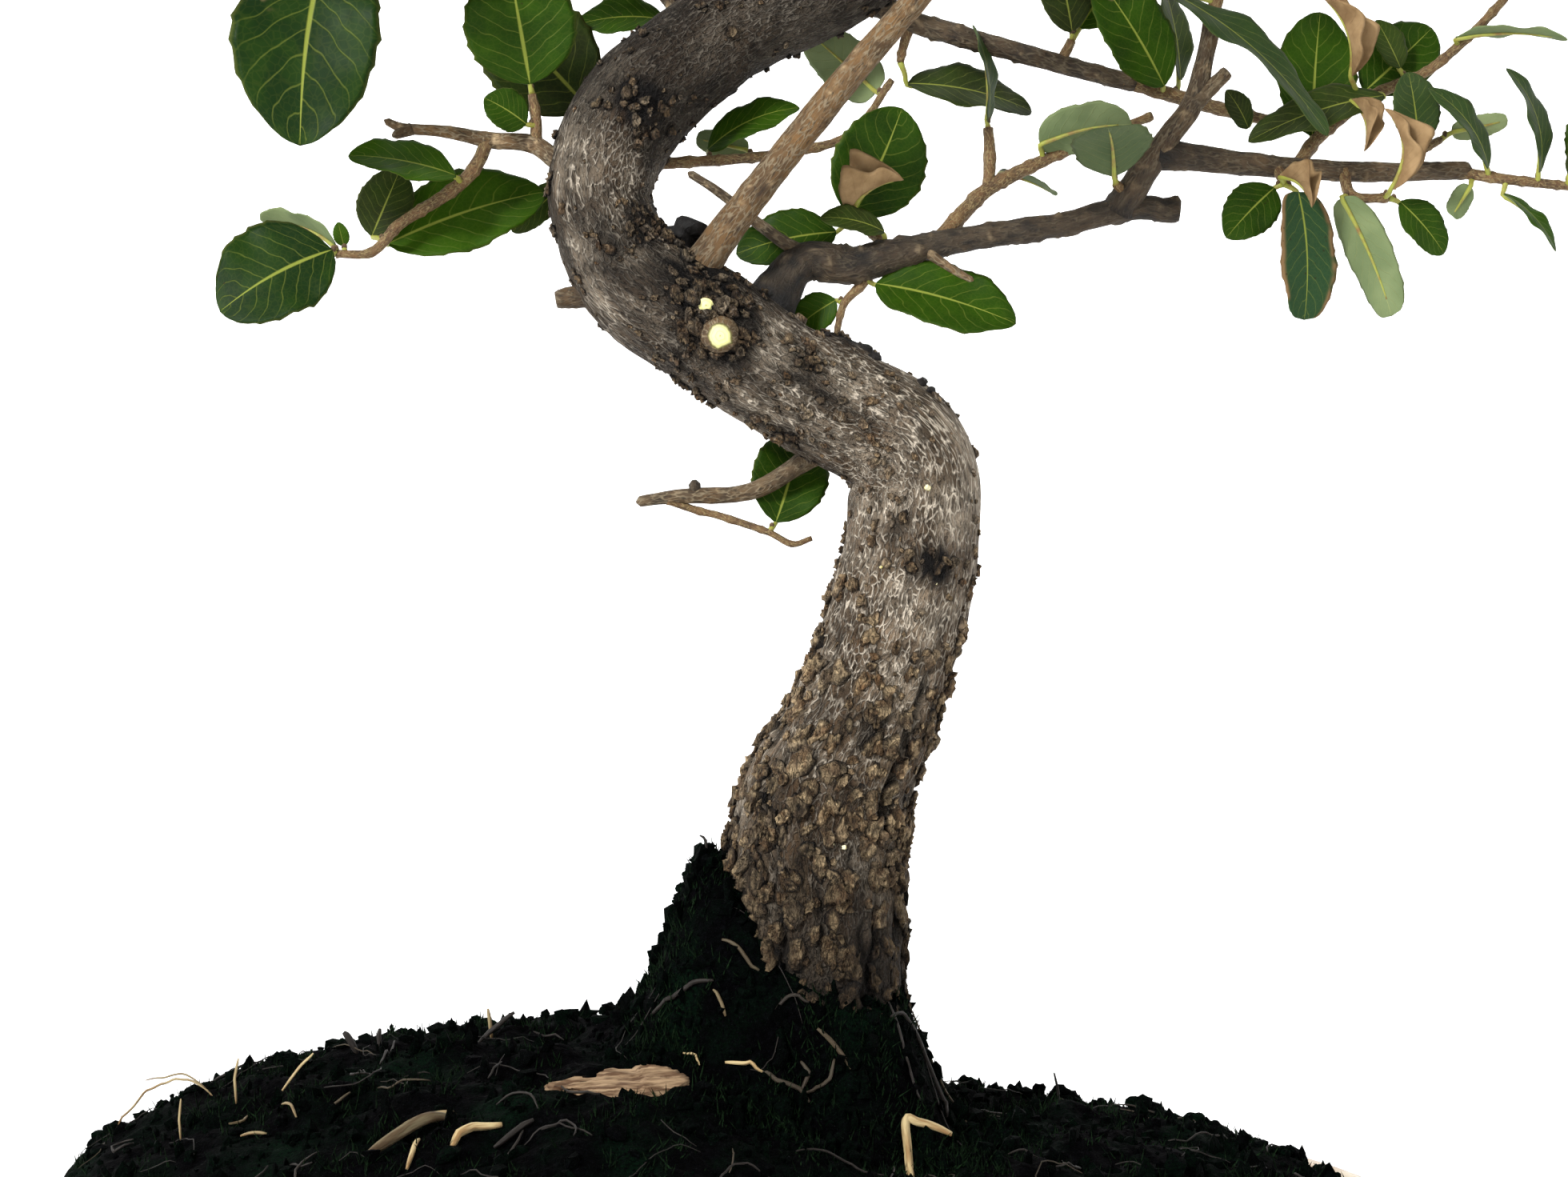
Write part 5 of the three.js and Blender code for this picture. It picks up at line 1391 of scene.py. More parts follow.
    @staticmethod
    def wart(bm: bmesh.types.BMesh) -> None:
        """A low wart with a cup in its top.

        Args:
            bm: the mesh that it is made in.
        """
        bmesh.ops.create_uvsphere(bm, u_segments=9, v_segments=5, radius=1.0)
        for vertex in bm.verts:
            if vertex.co.z > 0.95:
                vertex.co.z = 0.6

    def warts(self, course: Course, skin: Skin) -> None:
        """Sows warts over the trunk, small above and plate-like at its foot.

        Args:
            course: the trunk's axis.
            skin: the trunk's surface.
        """
        draw = np.random.default_rng(7)
        swarm = Swarm(self.wart_count, self.wart)
        chance = (skin.warts / skin.warts.sum()).ravel()
        picked = draw.choice(chance.size, self.wart_count, p=chance, replace=False)
        i, k = np.divmod(picked, self.sides)
        low = skin.low[i, k]
        angle = (TURN * k / self.sides)[:, None]
        out = course.side[i] * np.cos(angle) + course.up[i] * np.sin(angle)
        along = units(np.gradient(course.at, axis=0)[i])
        around = np.cross(out, along)
        crowded = np.clip(skin.warts[i, k] - 0.45, 0.0, 0.8) * (1 - low)
        size = 1.0 + 1.1 * low + 0.8 * crowded
        size = size * draw.uniform(0.5, 1.35, self.wart_count) ** 1.4 * MM
        spin = draw.normal(0, 0.5, self.wart_count)[:, None]
        first = along * np.cos(spin) + around * np.sin(spin)
        second = np.cross(out, first)
        first = first * (size * draw.uniform(0.9, 1.5, self.wart_count))[:, None]
        second = second * (size * draw.uniform(0.6, 1.0, self.wart_count))[:, None]
        tall = out * (size * draw.uniform(0.7, 1.2, self.wart_count) * (1 - 0.35 * low))[:, None]
        reach = course.radius[i] + skin.heights[i, k]
        origins = course.at[i] + out * reach[:, None]
        top = swarm.shape[:, 2]
        marks = np.zeros((self.wart_count, swarm.each, 3))
        tone = ((0.35 + 0.65 * low) * draw.uniform(0.4, 1.0, self.wart_count))[:, None]
        marks[:, :, 0] = tone * np.clip(top * 1.3, 0, 1)
        # Second mark, painted shade: the skin's shade, the dark cups of some warts, and sides that
        # darken towards the bark.
        dark = np.clip(skin.marks[i, k, 1] - 0.25, 0, 0.5)[:, None]
        cup = np.where(np.abs(top - 0.6) < 0.01, 1.0, 0.0)
        cup_shade = cup * draw.uniform(-0.6, 0.9, (self.wart_count, 1))
        marks[:, :, 1] = dark + np.maximum(cup_shade, np.clip(1.1 - 1.7 * top, 0, 0.92))
        marks[:, :, 1] += draw.uniform(-0.3, 0.3, (self.wart_count, swarm.each))
        marks[:, :, 2] = draw.uniform(0, 0.9, (self.wart_count, 1))
        frames = np.stack((first, second, tall), axis=2)
        swarm.settle(origins, frames, np.clip(marks, 0, 1), 0.4)
        for face in swarm.bm.faces:
            face.smooth = False
        swarm.finish("trunk_warts", [self.bark], Slot.BARK)

    def build(self) -> None:
        """Builds the trunk."""
        course = Course.through(TRUNK_POINTS, self.spacing)
        skin = self.skin(course)
        growth = Growth()
        growth.stem(course, self.sides, relief=skin.heights, marks=skin.marks)
        growth.finish("trunk_bark", [self.bark], Slot.BARK, ["trunk"])
        self.warts(course, skin)
        self.specks(course)

    def specks(self, course: Course) -> None:
        """Adds black warts on the upper bend and the pale bits stuck to the bark.

        Args:
            course: the trunk's axis.
        """
        draw = random.Random(5)
        growth = Growth()
        black = [((31, 1, 276), 1.3), ((33, -3, 275.6), 1.6), ((35.5, 0, 274), 1.9),
                 ((38.5, -2, 273.4), 2.2), ((40.5, -4, 271.8), 1.8), ((29, -4, 278), 1.2),
                 ((52, -3, 264.6), 1.5), ((54.5, -4, 263), 1.2), ((-6, -8, 292), 1.8),
                 ((-4, -10, 292.5), 1.4), ((-9, -7, 302), 2.2), ((-5.5, -8, 303), 1.7)]
        pale = [((59.4, -15, 218.6), 0.8), ((57, -15, 215), 0.6), ((40.6, -16, 219.6), 0.5),
                ((54.4, -15, 239.2), 0.9), ((30, -22, 150), 0.8), ((33.5, -22, 149), 0.6)]
        for place, size in black:
            self.stick(growth, course, place, size, 0.95, draw)
        for place, size in pale:
            self.stick(growth, course, place, size, 0.0, draw)
        growth.finish("trunk_specks", [self.speck], Slot.BARK)

    def stick(self, growth: Growth, course: Course, place: Point, size: float, dark: float,
              draw: random.Random) -> None:
        """Adds a bit on the bark's surface, at the place nearest to a planned one.

        Args:
            growth: the mesh that it is added to.
            course: the trunk's axis.
            place: its place as seen from the front, in millimetres.
            size: half its length in millimetres.
            dark: how dark it is.
            draw: random numbers for its form and turn.
        """
        target = seen(place)
        near = course.nearest(target)
        axis = course.at[near]
        at = axis + unit(target - axis) * (course.radius[near] + 0.4 * MM)
        half = size * MM
        growth.pellet(at, (half, half * draw.uniform(0.7, 1.0), half * draw.uniform(0.6, 1.0)),
                      draw.random() * TURN, (dark, 0.0, 0.0), finer=2, uneven=0.6)


@dataclass
class Limbs:
    """Limbs, cut stubs and dead twigs, one piece of wood with the trunk.

    They are dressed in bark, and their ends as a fresh cut or as an old, sawn one.
    """

    bark: Material
    cut: Material
    sawn: Material
    sides: int = 22
    spacing: float = 0.95

    def relief(self, course: Course, limb: Limb) -> tuple[Array, Array]:
        """Heights and masks of a limb's bark.

        Args:
            course: its axis.
            limb: its plan.

        Returns:
            Heights in metres, rows by columns, and the masks.
        """
        rows = len(course.run)
        heights = np.zeros((rows, self.sides))
        marks = np.zeros((rows, self.sides, 3))
        shift = Vector(limb.points[0][:3])
        for i in range(rows):
            radius, run = course.radius[i] / MM, course.run[i] / MM
            node = 0.1 * radius * max(0.0, math.cos(run / 11.0 + shift.x)) ** 12
            collar = 0.45 * radius * math.exp(-run / 12.0)
            to_end = (course.run[-1] - course.run[i]) / MM
            rounding, fall = (0.9 * radius, 0.96) if limb.end is End.BARK else (0.5, 0.3)
            edge = max(0.0, 1 - to_end / rounding)
            collar -= radius * (1 - math.sqrt(1 - edge**2 * fall))
            for k in range(self.sides):
                angle = TURN * k / self.sides
                place = Vector((radius * math.cos(angle), radius * math.sin(angle), run)) + shift
                wave = fractal((place.x / 1.6, place.y / 1.6, place.z / 6.0), 2)
                lump = fractal(place / 5.0, 2)
                knob = fractal(place / 2.6 + Vector((9, 4, 2)), 2)
                wart = max(0.0, knob - 0.42 + 0.2 * limb.rough)
                height = 0.1 * radius * lump + 0.14 * wave + node + 2.2 * wart * limb.rough
                heights[i, k] = (height * (0.4 + limb.rough) + collar) * MM
                # Painted shade: the limb's dark, the hollows of the bark, and the base where it
                # leaves the trunk.
                shade = limb.dark + 0.5 * max(0.0, -wave) * limb.rough + 0.5 * math.exp(-run / 10)
                marks[i, k] = (min(0.6, wart * 2), shade, limb.warmth + 0.25 * lump)
        return heights, np.clip(marks, 0.0, 1.0)

    def build(self) -> None:
        """Builds all limbs as one piece."""
        growth = Growth()
        for limb in LIMBS.values():
            course = Course.through(limb.points, self.spacing)
            relief, marks = self.relief(course, limb)
            growth.stem(course, self.sides, 0, relief, marks, limb.end.value)
        growth.finish("limbs", [self.bark, self.cut, self.sawn], Slot.BARK, ["trunk"])


@dataclass(frozen=True)
class PlacedLeaf:
    """A leaf with its blade's ends in metres."""

    base: Array
    tip: Array
    width: float
    facing: Point
    bow: float
    age: Age
    seed: float

    @property
    def bend(self) -> float:
        """How far it bends to one side, from -0.5 to 0.5."""
        return self.seed * 7 % 1.0 - 0.5

    def directions(self) -> tuple[float, Array, Array, Array]:
        """Length of its blade and how it lies.

        Returns:
            The length, and the unit directions along, across and out of the blade.
        """
        axis = self.tip - self.base
        length = float(np.linalg.norm(axis))
        axis = axis / length
        face = np.array(self.facing, float)
        face = unit(face - (face @ axis) * axis)
        return length, axis, np.cross(face, axis), face


@dataclass(frozen=True)
class Blade:
    """How a blade is made: an oval with shallow teeth, a fold at its midrib and a waved edge."""

    columns: int = 14
    rows: int = 40
    thick: float = 0.42
    teeth: float = 7.0
    tooth: float = 0.055
    keel: float = 0.16
    wave: float = 0.022
    quilt: float = 0.22
    sway: float = 0.05
    pairs: float = VEIN_PAIRS
    stalk: float = 0.75
    outline: tuple[tuple[float, float], ...] = (
        (0.0, 0.05), (0.03, 0.3), (0.08, 0.5), (0.16, 0.73), (0.26, 0.89), (0.37, 0.975),
        (0.47, 1.0), (0.58, 0.97), (0.69, 0.885), (0.79, 0.75), (0.87, 0.58), (0.93, 0.41),
        (0.97, 0.25), (0.99, 0.13), (1.0, 0.0),
    )

    def half_width(self, along: Array) -> Array:
        """Half the blade's width along it, as a share of its widest."""
        shares, halves = zip(*self.outline)
        return np.interp(along, shares, halves)

    def add(self, growth: Growth, leaf: PlacedLeaf) -> None:
        """Adds a blade of two faces that meet in a thin rim.

        Args:
            growth: the mesh that it is added to.
            leaf: its place and look.
        """
        n = self.columns
        made, column, row = growth.grid(2 * n, self.rows)
        faces = {face: face.calc_center_median().x < 0
                 for vertex in made for face in vertex.link_faces}
        column = column % (2 * n)
        across = np.where(column <= n, 2 * column / n - 1, 1 - 2 * (column - n) / n)
        across = np.sign(across) * np.abs(across) ** 0.85
        along = row / self.rows
        along = 0.55 * along + 0.45 * (1 - np.cos(math.pi * along)) / 2
        length, axis, side, face = leaf.directions()
        away = np.abs(across)
        strap = 0.5 if leaf.age in (Age.PALE, Age.BLUISH) else 1.0
        half = leaf.width / 2 * self.half_width(along) ** strap
        count = self.teeth + round(4 * leaf.seed % 1.0 * 2)
        saw = (along * count + 0.37 * np.sign(across) + leaf.seed) % 1.0
        notch = self.tooth * (saw**2 - 0.35) * smooth_step(along, 0.12, 0.3)
        notch = notch * (1 - smooth_step(along, 0.93, 1.0)) * away**6
        if leaf.age is Age.DRY:
            notch = 0.4 * notch
        half = np.maximum(half * (1 + notch), self.stalk * MM * (1 - smooth_step(along, 0.0, 0.1)))
        lift = self.keel * away**1.4 * half + 4 * leaf.bow * length * along * (1 - along)
        phase = TURN * leaf.seed + 1.9 * (across > 0)
        swing = np.sin(TURN * 1.6 * along + phase) + 0.5 * np.sin(TURN * 3.3 * along + 2 * phase)
        lift += self.wave * length * swing * away**2 * np.sin(math.pi * along) ** 0.5
        lift += 0.05 * length * (leaf.seed - 0.5) * across * np.sin(math.pi * along)
        if leaf.age is Age.DRY:
            curl = np.sin(2.3 * math.pi * along + TURN * leaf.seed)
            crumple = 0.16 * np.sin(15 * along + 2 * across + TURN * leaf.seed)
            lift += half * (1.2 * away**2 + 0.35 * curl * across + crumple * away)
            half = np.maximum(half * (0.5 - 0.14 * curl), self.stalk * MM * 0.5 * (1 - along))
        ribs = (along - 0.3 * away**1.25) * self.pairs
        puff = np.abs(np.sin(math.pi * ribs)) ** 0.7 * (1 - away**2) * away**0.5
        lift += self.quilt * MM * puff * np.sin(math.pi * along)
        solid = np.where(column < n, 1.0, -1.0) * np.sqrt(np.maximum(0.0, 1 - away**4))
        lift += self.thick / 2 * MM * solid * (1 - smooth_step(along, 0.96, 1.0))
        shift = across * half + self.sway * length * leaf.bend * np.sin(math.pi * along)
        places = (leaf.base + np.outer(along * length, axis) + np.outer(shift, side)
                  + np.outer(lift, face))
        tone, dry, blue = leaf.age.value
        mark = (min(1.0, max(0.0, tone + 0.3 * leaf.bend)), dry, blue)
        for i, vertex in enumerate(made):
            vertex.co = places[i]
            vertex[growth.blade] = (across[i], along[i], leaf.seed)
            vertex[growth.marks] = mark
        for quad, is_top in faces.items():
            quad.material_index = 0 if is_top else 1
        ends = [v for v, c, r in zip(made, column, row) if c == 0 or r == self.rows]
        growth.close(made, ends)

    def rib_points(self, leaf: PlacedLeaf, foot: Array) -> Array:
        """Course of the petiole and of the rib below the blade.

        Args:
            leaf: the leaf.
            foot: where the petiole starts on its twig.

        Returns:
            Rows of x, y, z and radius in metres.
        """
        length, axis, side, face = leaf.directions()
        between = foot * 0.45 + leaf.base * 0.55 + face * 0.2 * MM
        rows = [(*foot, 0.85 * MM), (*between, 0.7 * MM)]
        for along in (0.0, 0.12, 0.3, 0.5, 0.7, 0.86):
            radius = (0.62 - 0.52 * along) * MM
            lift = 4 * leaf.bow * length * along * (1 - along) - 0.75 * radius
            shift = self.sway * length * leaf.bend * math.sin(math.pi * along)
            place = leaf.base + axis * along * length + face * lift + side * shift
            rows.append((*place, radius))
        return np.array(rows)


@dataclass
class Spray:
    """A leafy shoot: twigs, buds, petioles and blades."""

    node: str
    twigs: list[Points]
    leaves: list[PlacedLeaf]
    blade: Blade

    def build(self, finishes: Sequence[Material]) -> None:
        """Builds the shoot in the place of its node.

        Args:
            finishes: leaf top, leaf underside, twig and petiole.
        """
        growth = Growth()
        courses = [Course.through(twig, 1.1) for twig in self.twigs]
        for course in courses:
            growth.stem(course, 10, 2, self.swell(course), (0.0, 0.05, 0.75))
        for leaf in self.leaves:
            feet = [course.at[course.nearest(leaf.base)] for course in courses]
            foot = min(feet, key=lambda at: float(np.linalg.norm(at - leaf.base)))
            self.blade.add(growth, leaf)
            growth.stem(Course.along(self.blade.rib_points(leaf, foot), 1.3), 7, 3)
            away = unit(leaf.base - foot)
            bud = foot + away * 1.5 * MM + np.array((0, 0, 0.5 * MM))
            growth.pellet(bud, (0.75 * MM, 0.7 * MM, 1.1 * MM), 0.0, (0.2, 0.35, 0.9), 2, 2)
        piece = self.node.replace("shoot_", "spray_").replace("crown_", "spray_crown_")
        growth.finish(piece, finishes, Slot.LEAF, [self.node])

    def swell(self, course: Course) -> Array:
        """Heights of the nodes and bumps of a twig.

        Args:
            course: its axis.

        Returns:
            The heights in metres, rows by columns.
        """
        rows = len(course.run)
        heights = np.zeros((rows, 10))
        for i in range(rows):
            run = course.run[i] / MM
            node = 0.22 * max(0.0, math.cos(run * 0.75)) ** 8
            for k in range(10):
                bump = 0.14 * noise.noise(Vector((k * 0.9, run * 0.6, course.at[0][0] * 200)))
                heights[i, k] = (node + bump) * course.radius[i]
        return heights


def seen_sprays() -> list[Spray]:
    """The shoots that the front view shows."""
    sprays = []
    for number, (node, plan) in enumerate(SEEN_SPRAYS.items()):
        leaves = [
            PlacedLeaf(seen(leaf.base), seen(leaf.tip), leaf.width * MM, leaf.facing, leaf.bow,
                       leaf.age, (0.173 * number + 0.618 * i) % 1.0)
            for i, leaf in enumerate(plan.leaves)
        ]
        sprays.append(Spray(node, plan.twigs, leaves, Blade()))
    return sprays


@dataclass
class Crown:
    """Shoots of the crown, with leaves round each at the golden angle and one at its end."""

    length: float = 31.0
    spread: float = 7.0
    slender: float = 0.6
    petiole: float = 5.0
    twig: float = 1.5

    def leaves(self, start: Point, end: Point, count: int, seed: int) -> list[PlacedLeaf]:
        """The leaves of a shoot.

        Args:
            start: start of its twig, as seen from the front.
            end: end of its twig.
            count: number of leaves.
            seed: seed of their small differences.

        Returns:
            The leaves.
        """
        draw = Repeatable(seed)
        first, last = seen(start), seen(end)
        tangent = unit(last - first)
        side = np.cross((0.0, 0.0, 1.0), tangent)
        side = unit(side) if np.linalg.norm(side) >= 0.2 else np.array((1.0, 0.0, 0.0))
        up = unit(np.cross(tangent, side))
        ages = (Age.MATURE, Age.OLD, Age.MATURE, Age.YOUNG, Age.MATURE, Age.DULL)
        made = []
        for i in range(count):
            is_last = i == count - 1
            angle = i * GOLDEN_ANGLE + seed
            out = side * math.cos(angle) + up * math.sin(angle)
            way = tangent * (1 if is_last else 0.5) + out * (0.1 if is_last else 0.95)
            way = unit(way + np.array((0, 0, 0.12)))
            share = 1 if is_last else 0.4 + 0.55 * i / (count - 1)
            base = first + (last - first) * share + way * self.petiole * MM
            length = (self.length + self.spread * (draw() - 0.5)) * MM
            facing = (0.5 * (draw() - 0.5), -0.35, 1.0)
            width = length * (self.slender + 0.1 * (draw() - 0.5))
            bow = 0.05 + 0.04 * draw()
            age = ages[(seed + i) % len(ages)]
            made.append(PlacedLeaf(base, base + way * length, width, facing, bow, age,
                                   (0.618 * (i + seed)) % 1.0))
        return made

    def sprays(self) -> list[Spray]:
        """The shoots of the crown."""
        blade = Blade(columns=10, rows=30)
        return [
            Spray(node, [[(*start, self.twig), (*end, self.twig * 0.65)]],
                  self.leaves(start, end, count, seed), blade)
            for node, (start, end, count, seed) in CROWN_SPRAYS.items()
        ]


@dataclass
class Pot:
    """An oval pot with a rounded lip, four feet and two drainage holes with a net over each."""

    glaze: Material
    net: Material
    length: float = POT_LENGTH
    width: float = POT_WIDTH
    height: float = 60.0
    foot: float = 8.0
    drain_x: float = 78.0
    drain_radius: float = 8.0
    sides: int = 192
    foot_size: Point = (40.0, 12.0, 10.0)
    foot_along: tuple[float, float] = (130.0, 80.0)
    foot_angle: float = 0.84
    # How far each ring lies in from the widest one, its height, and how edgy it is.
    wall: tuple[Point, ...] = (
        (27, 8, 0.6), (21, 8.1, 1), (18.8, 9, 1), (17.9, 11, 0.5), (17.3, 14, 0.1), (14.6, 22, 0),
        (11.9, 31, 0), (9, 41, 0), (6.3, 50, 0.05), (4.2, 51.6, 0.4), (1.6, 52.6, 0.6), (0.3, 54, 1),
        (0, 55.6, 0.9), (0, 57.2, 0.9), (0.5, 58.9, 1), (1.8, 59.8, 1), (3.6, 60, 0.3),
        (6.6, 60, 0.3), (8.4, 59.6, 1), (9.6, 58.6, 1), (10.3, 57, 0.5), (14, 46, 0), (18.4, 32, 0),
        (22.6, 20, 0), (25, 16.2, 0), (30, 15, 0),
    )

    def bowl(self) -> None:
        """Builds the bowl and bores its drainage holes."""
        growth = Growth()
        rows = len(self.wall) - 1
        made, column, row = growth.grid(self.sides, rows)
        for vertex, k, i in zip(made, column % self.sides, row):
            inset, level, edge = self.wall[i]
            angle = TURN * k / self.sides
            vertex.co = ((self.length / 2 - inset) * MM * math.cos(angle),
                         (self.width / 2 - inset) * MM * math.sin(angle), level * MM)
            vertex[growth.marks] = (edge, 0.0, 0.0)
        growth.close(made, [v for v, k in zip(made, column) if k in (0, self.sides)])
        piece = growth.finish("pot_bowl", [self.glaze], Slot.GLAZE, ["pot"])
        cutters = [self.cutter(x) for x in (-self.drain_x, self.drain_x)]
        for cutter in cutters:
            bore = piece.modifiers.new("drain", "BOOLEAN")
            bore.object, bore.operation, bore.solver = cutter, "DIFFERENCE", "EXACT"
        graph = bpy.context.evaluated_depsgraph_get()
        bored = bpy.data.meshes.new_from_object(piece.evaluated_get(graph))
        piece.modifiers.clear()
        piece.data = bored
        for cutter in cutters:
            bpy.data.objects.remove(cutter)

    def cutter(self, x: float) -> bpy.types.Object:
        """A pin through the floor of the bowl, to bore a drainage hole with.

        Args:
            x: where the hole is, in millimetres.

        Returns:
            The pin.
        """
        bm = bmesh.new()
        bmesh.ops.create_cone(bm, cap_ends=True, segments=48, radius1=self.drain_radius * MM,
                              radius2=self.drain_radius * MM, depth=0.03)
        bmesh.ops.translate(bm, verts=bm.verts, vec=(x * MM, 0.0, self.foot * MM))
        mesh = bpy.data.meshes.new("cutter")
        bm.to_mesh(mesh)
        bm.free()
        return place_in_scene("cutter", mesh)

    def feet(self) -> None:
        """Builds the four rounded feet, sunk a little into the bowl."""
        growth = Growth()
        long, deep, tall = (size * MM for size in self.foot_size)
        reach_x, reach_y = self.foot_along
        across, along = math.cos(self.foot_angle), math.sin(self.foot_angle)
        for sign_x, sign_y in ((1, 1), (-1, 1), (-1, -1), (1, -1)):
            earlier = set(growth.bm.verts)
            made = bmesh.ops.create_cube(growth.bm, size=1.0)["verts"]
            bmesh.ops.scale(growth.bm, verts=made, vec=(long, deep, tall))
            turn = math.atan2(sign_y * reach_y * across, -sign_x * reach_x * along)
            uprights = [edge for edge in {e for v in made for e in v.link_edges}
                        if abs(edge.verts[0].co.z - edge.verts[1].co.z) > tall / 2]
            bmesh.ops.bevel(growth.bm, geom=uprights, offset=deep * 0.48, segments=8, profile=0.5,
                            affect="EDGES", material=-1)
            body = [vertex for vertex in growth.bm.verts if vertex not in earlier]
            x, y = sign_x * reach_x * across * MM, sign_y * reach_y * along * MM
            for vertex in body:
                taper = 1.0 if vertex.co.z > 0 else 0.93
                px, py = spun(vertex.co.x * taper, vertex.co.y * taper, turn)
                vertex.co = (x + px, y + py, vertex.co.z + tall / 2)
                vertex[growth.marks] = (0.9, 0.0, 0.0)
        growth.finish("pot_feet", [self.glaze], Slot.GLAZE, ["pot"])

    def build(self) -> None:
        """Builds the pot and dresses the screens over its drainage holes."""
        self.bowl()
        self.feet()
        for name in ("drain_screen_left", "drain_screen_right"):
            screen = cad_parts[name]
            for slot in screen.material_slots:
                slot.link = "OBJECT"
                slot.material = self.net


@dataclass
class Soil:
    """The mound of soil with its clods, crumbs and moss."""

    earth: Material
    green: Material
    crumb_count: int = 6500
    moss_count: int = 11000
    length: float = POT_LENGTH
    width: float = POT_WIDTH
    lip: float = 9.0
    rim: float = 57.0
    trunk_x: float = 25.5
    left: float = 43.0
    right: float = 22.0
    left_cone: float = 50.0
    right_cone: float = 35.0
    lump: float = 1.9
    # Middle and half-size of the ground under the chip, which stays bare.
    chip_at: tuple[float, float] = (-21.0, -40.0)
    chip_reach: tuple[float, float] = (18.0, 8.0)
    # Rings below the rim: how far each lies in from the pot's outside, and its height.
    skirt: tuple[tuple[float, float], ...] = ((30.4, 15.4), (24.8, 19.6), (18, 38), (12.4, 56))
    sides: int = 400
    rings: int = 120
    # Clods on the outline: x as seen from the front, and reach.
    clods: tuple[tuple[float, float], ...] = (
        (65, 2.6), (70.5, 2), (75, 1.8), (87, 3.2), (96.5, 2.4), (106, 3.6), (111, 3.2),
        (119.5, 2.2), (126, 2), (135, 2.4), (141, 2.2), (154, 2.6), (-2, 1.7), (-6, 1.9),
        (-10, 1.8), (-14, 1.9), (-18, 1.6), (-25, 2), (-34, 1.6), (-46, 1.8), (-66, 2),
        (-77, 1.8), (-92, 1.6), (-108.5, 2.8), (-122, 2.2), (-133, 1.6), (-143, 1.6), (-152, 2.4),
    )

    def height(self, x: Array | float, y: Array | float) -> Array | float:
        """Height of the mound.

        Args:
            x: x of one or many places in millimetres.
            y: their depth.

        Returns:
            The heights in millimetres.
        """
        away = np.minimum(1.0, np.hypot(x / (self.length / 2 - self.lip),
                                        y / (self.width / 2 - self.lip)))
        dome = self.right + (self.left - self.right) * smooth_step(-x, -50.0, 20.0)
        dome = dome * (1 - away**3) ** 0.6
        gap = np.hypot(x - self.trunk_x, y)
        bank = smooth_step((self.trunk_x - x) / (gap + 1), 0.4, 0.95)
        start, reach = 20 + 5 * bank, 11 + 5 * bank
        cone = self.right_cone + (self.left_cone - self.right_cone) * bank
        cone = cone * np.exp(-((np.maximum(0.0, gap - start) / reach) ** 2))
        waves = np.sin(x / 7.3 + 1.2) * np.cos(y / 6.1 - x / 17)
        waves = waves + 0.7 * np.sin(y / 4.7 + x / 11 + 2) * np.cos(x / 5.1 - y / 13)
        return self.rim + dome + cone + self.lump * waves * (1 - away**6)

    def top(self, x: float, y: float) -> float:
        """Height in millimetres with the fine lumps."""
        fine = 1.5 * fractal((x / 5.5, y / 5.5, 0.3), 4)
        return float(self.height(x, y)) + fine

    def mound(self) -> None:
        """Builds the body of the soil."""
        growth = Growth()
        below = len(self.skirt)
        rows = below + self.rings
        made, column, row = growth.grid(self.sides, rows)
        for vertex, k, i in zip(made, column % self.sides, row):
            angle = TURN * k / self.sides
            inset, level = self.skirt[min(i, below - 1)]
            share = 1 - max(0, i - below + 1) / (self.rings + 1)
            share = share if i < rows else 0.0
            x = (self.length / 2 - inset) * share * math.cos(angle) + self.trunk_x * (1 - share)
            y = (self.width / 2 - inset) * share * math.sin(angle)
            if i >= below:
                level = self.top(x, y) - (1.2 if i == below else 0.0)
            vertex.co = (x * MM, y * MM, level * MM)
            vertex[growth.marks] = (float(smooth_step(fractal((x / 28, y / 28, 4)), 0.1, 0.5)), 0, 0)
        ends = [v for v, k, i in zip(made, column, row) if k in (0, self.sides) or i == rows]
        growth.close(made, ends)
        growth.finish("soil_mound", [self.earth], Slot.SOIL, ["soil"])

    def spot(self, draw: random.Random, near_trunk: float = 0.25) -> tuple[float, float]:
        """A random place on the mound outside the trunk.

        Args:
            draw: random numbers.
            near_trunk: share of the places that are on the cone round the trunk.

        Returns:
            Its x and y in millimetres.
        """
        while True:
            if draw.random() < near_trunk:
                angle, gap = draw.random() * TURN, 21 + 34 * draw.random()
                x, y = self.trunk_x + gap * math.cos(angle), gap * math.sin(angle)
            else:
                angle, share = draw.random() * TURN, 0.96 * math.sqrt(draw.random())
                x = (self.length / 2 - 12) * share * math.cos(angle)
                y = (self.width / 2 - 12) * share * math.sin(angle)
            gaps = (abs(x - self.chip_at[0]), abs(y - self.chip_at[1]))
            on_chip = gaps[0] < self.chip_reach[0] and gaps[1] < self.chip_reach[1]
            if math.hypot(x - self.trunk_x, y) > 20 and not on_chip:
                return x, y

    def crumbs(self) -> None:
        """Strews crumbs of soil over the mound."""
        count = self.crumb_count
        draw, sizes_draw = random.Random(11), np.random.default_rng(11)
        swarm = Swarm(count, lambda bm: bmesh.ops.create_icosphere(bm, subdivisions=1, radius=1.0))
        size = 0.4 + 2.2 * sizes_draw.random(count) ** 4
        spots = [self.spot(draw, 0.35) for _ in range(count)]
        origins = np.array([(x, y, self.top(x, y) + s * 0.3) for (x, y), s in zip(spots, size)]) * MM
        half = size[:, None] * sizes_draw.uniform((0.35, 0.35, 0.5), (1.3, 1.2, 1.6), (count, 3)) * MM
        tone = sizes_draw.random((count, 1, 3)) * (0.6, 0.0, 1.0)
        swarm.settle(origins, turned(half, sizes_draw), tone, 0.5)
        swarm.finish("soil_crumbs", [self.earth], Slot.SOIL)

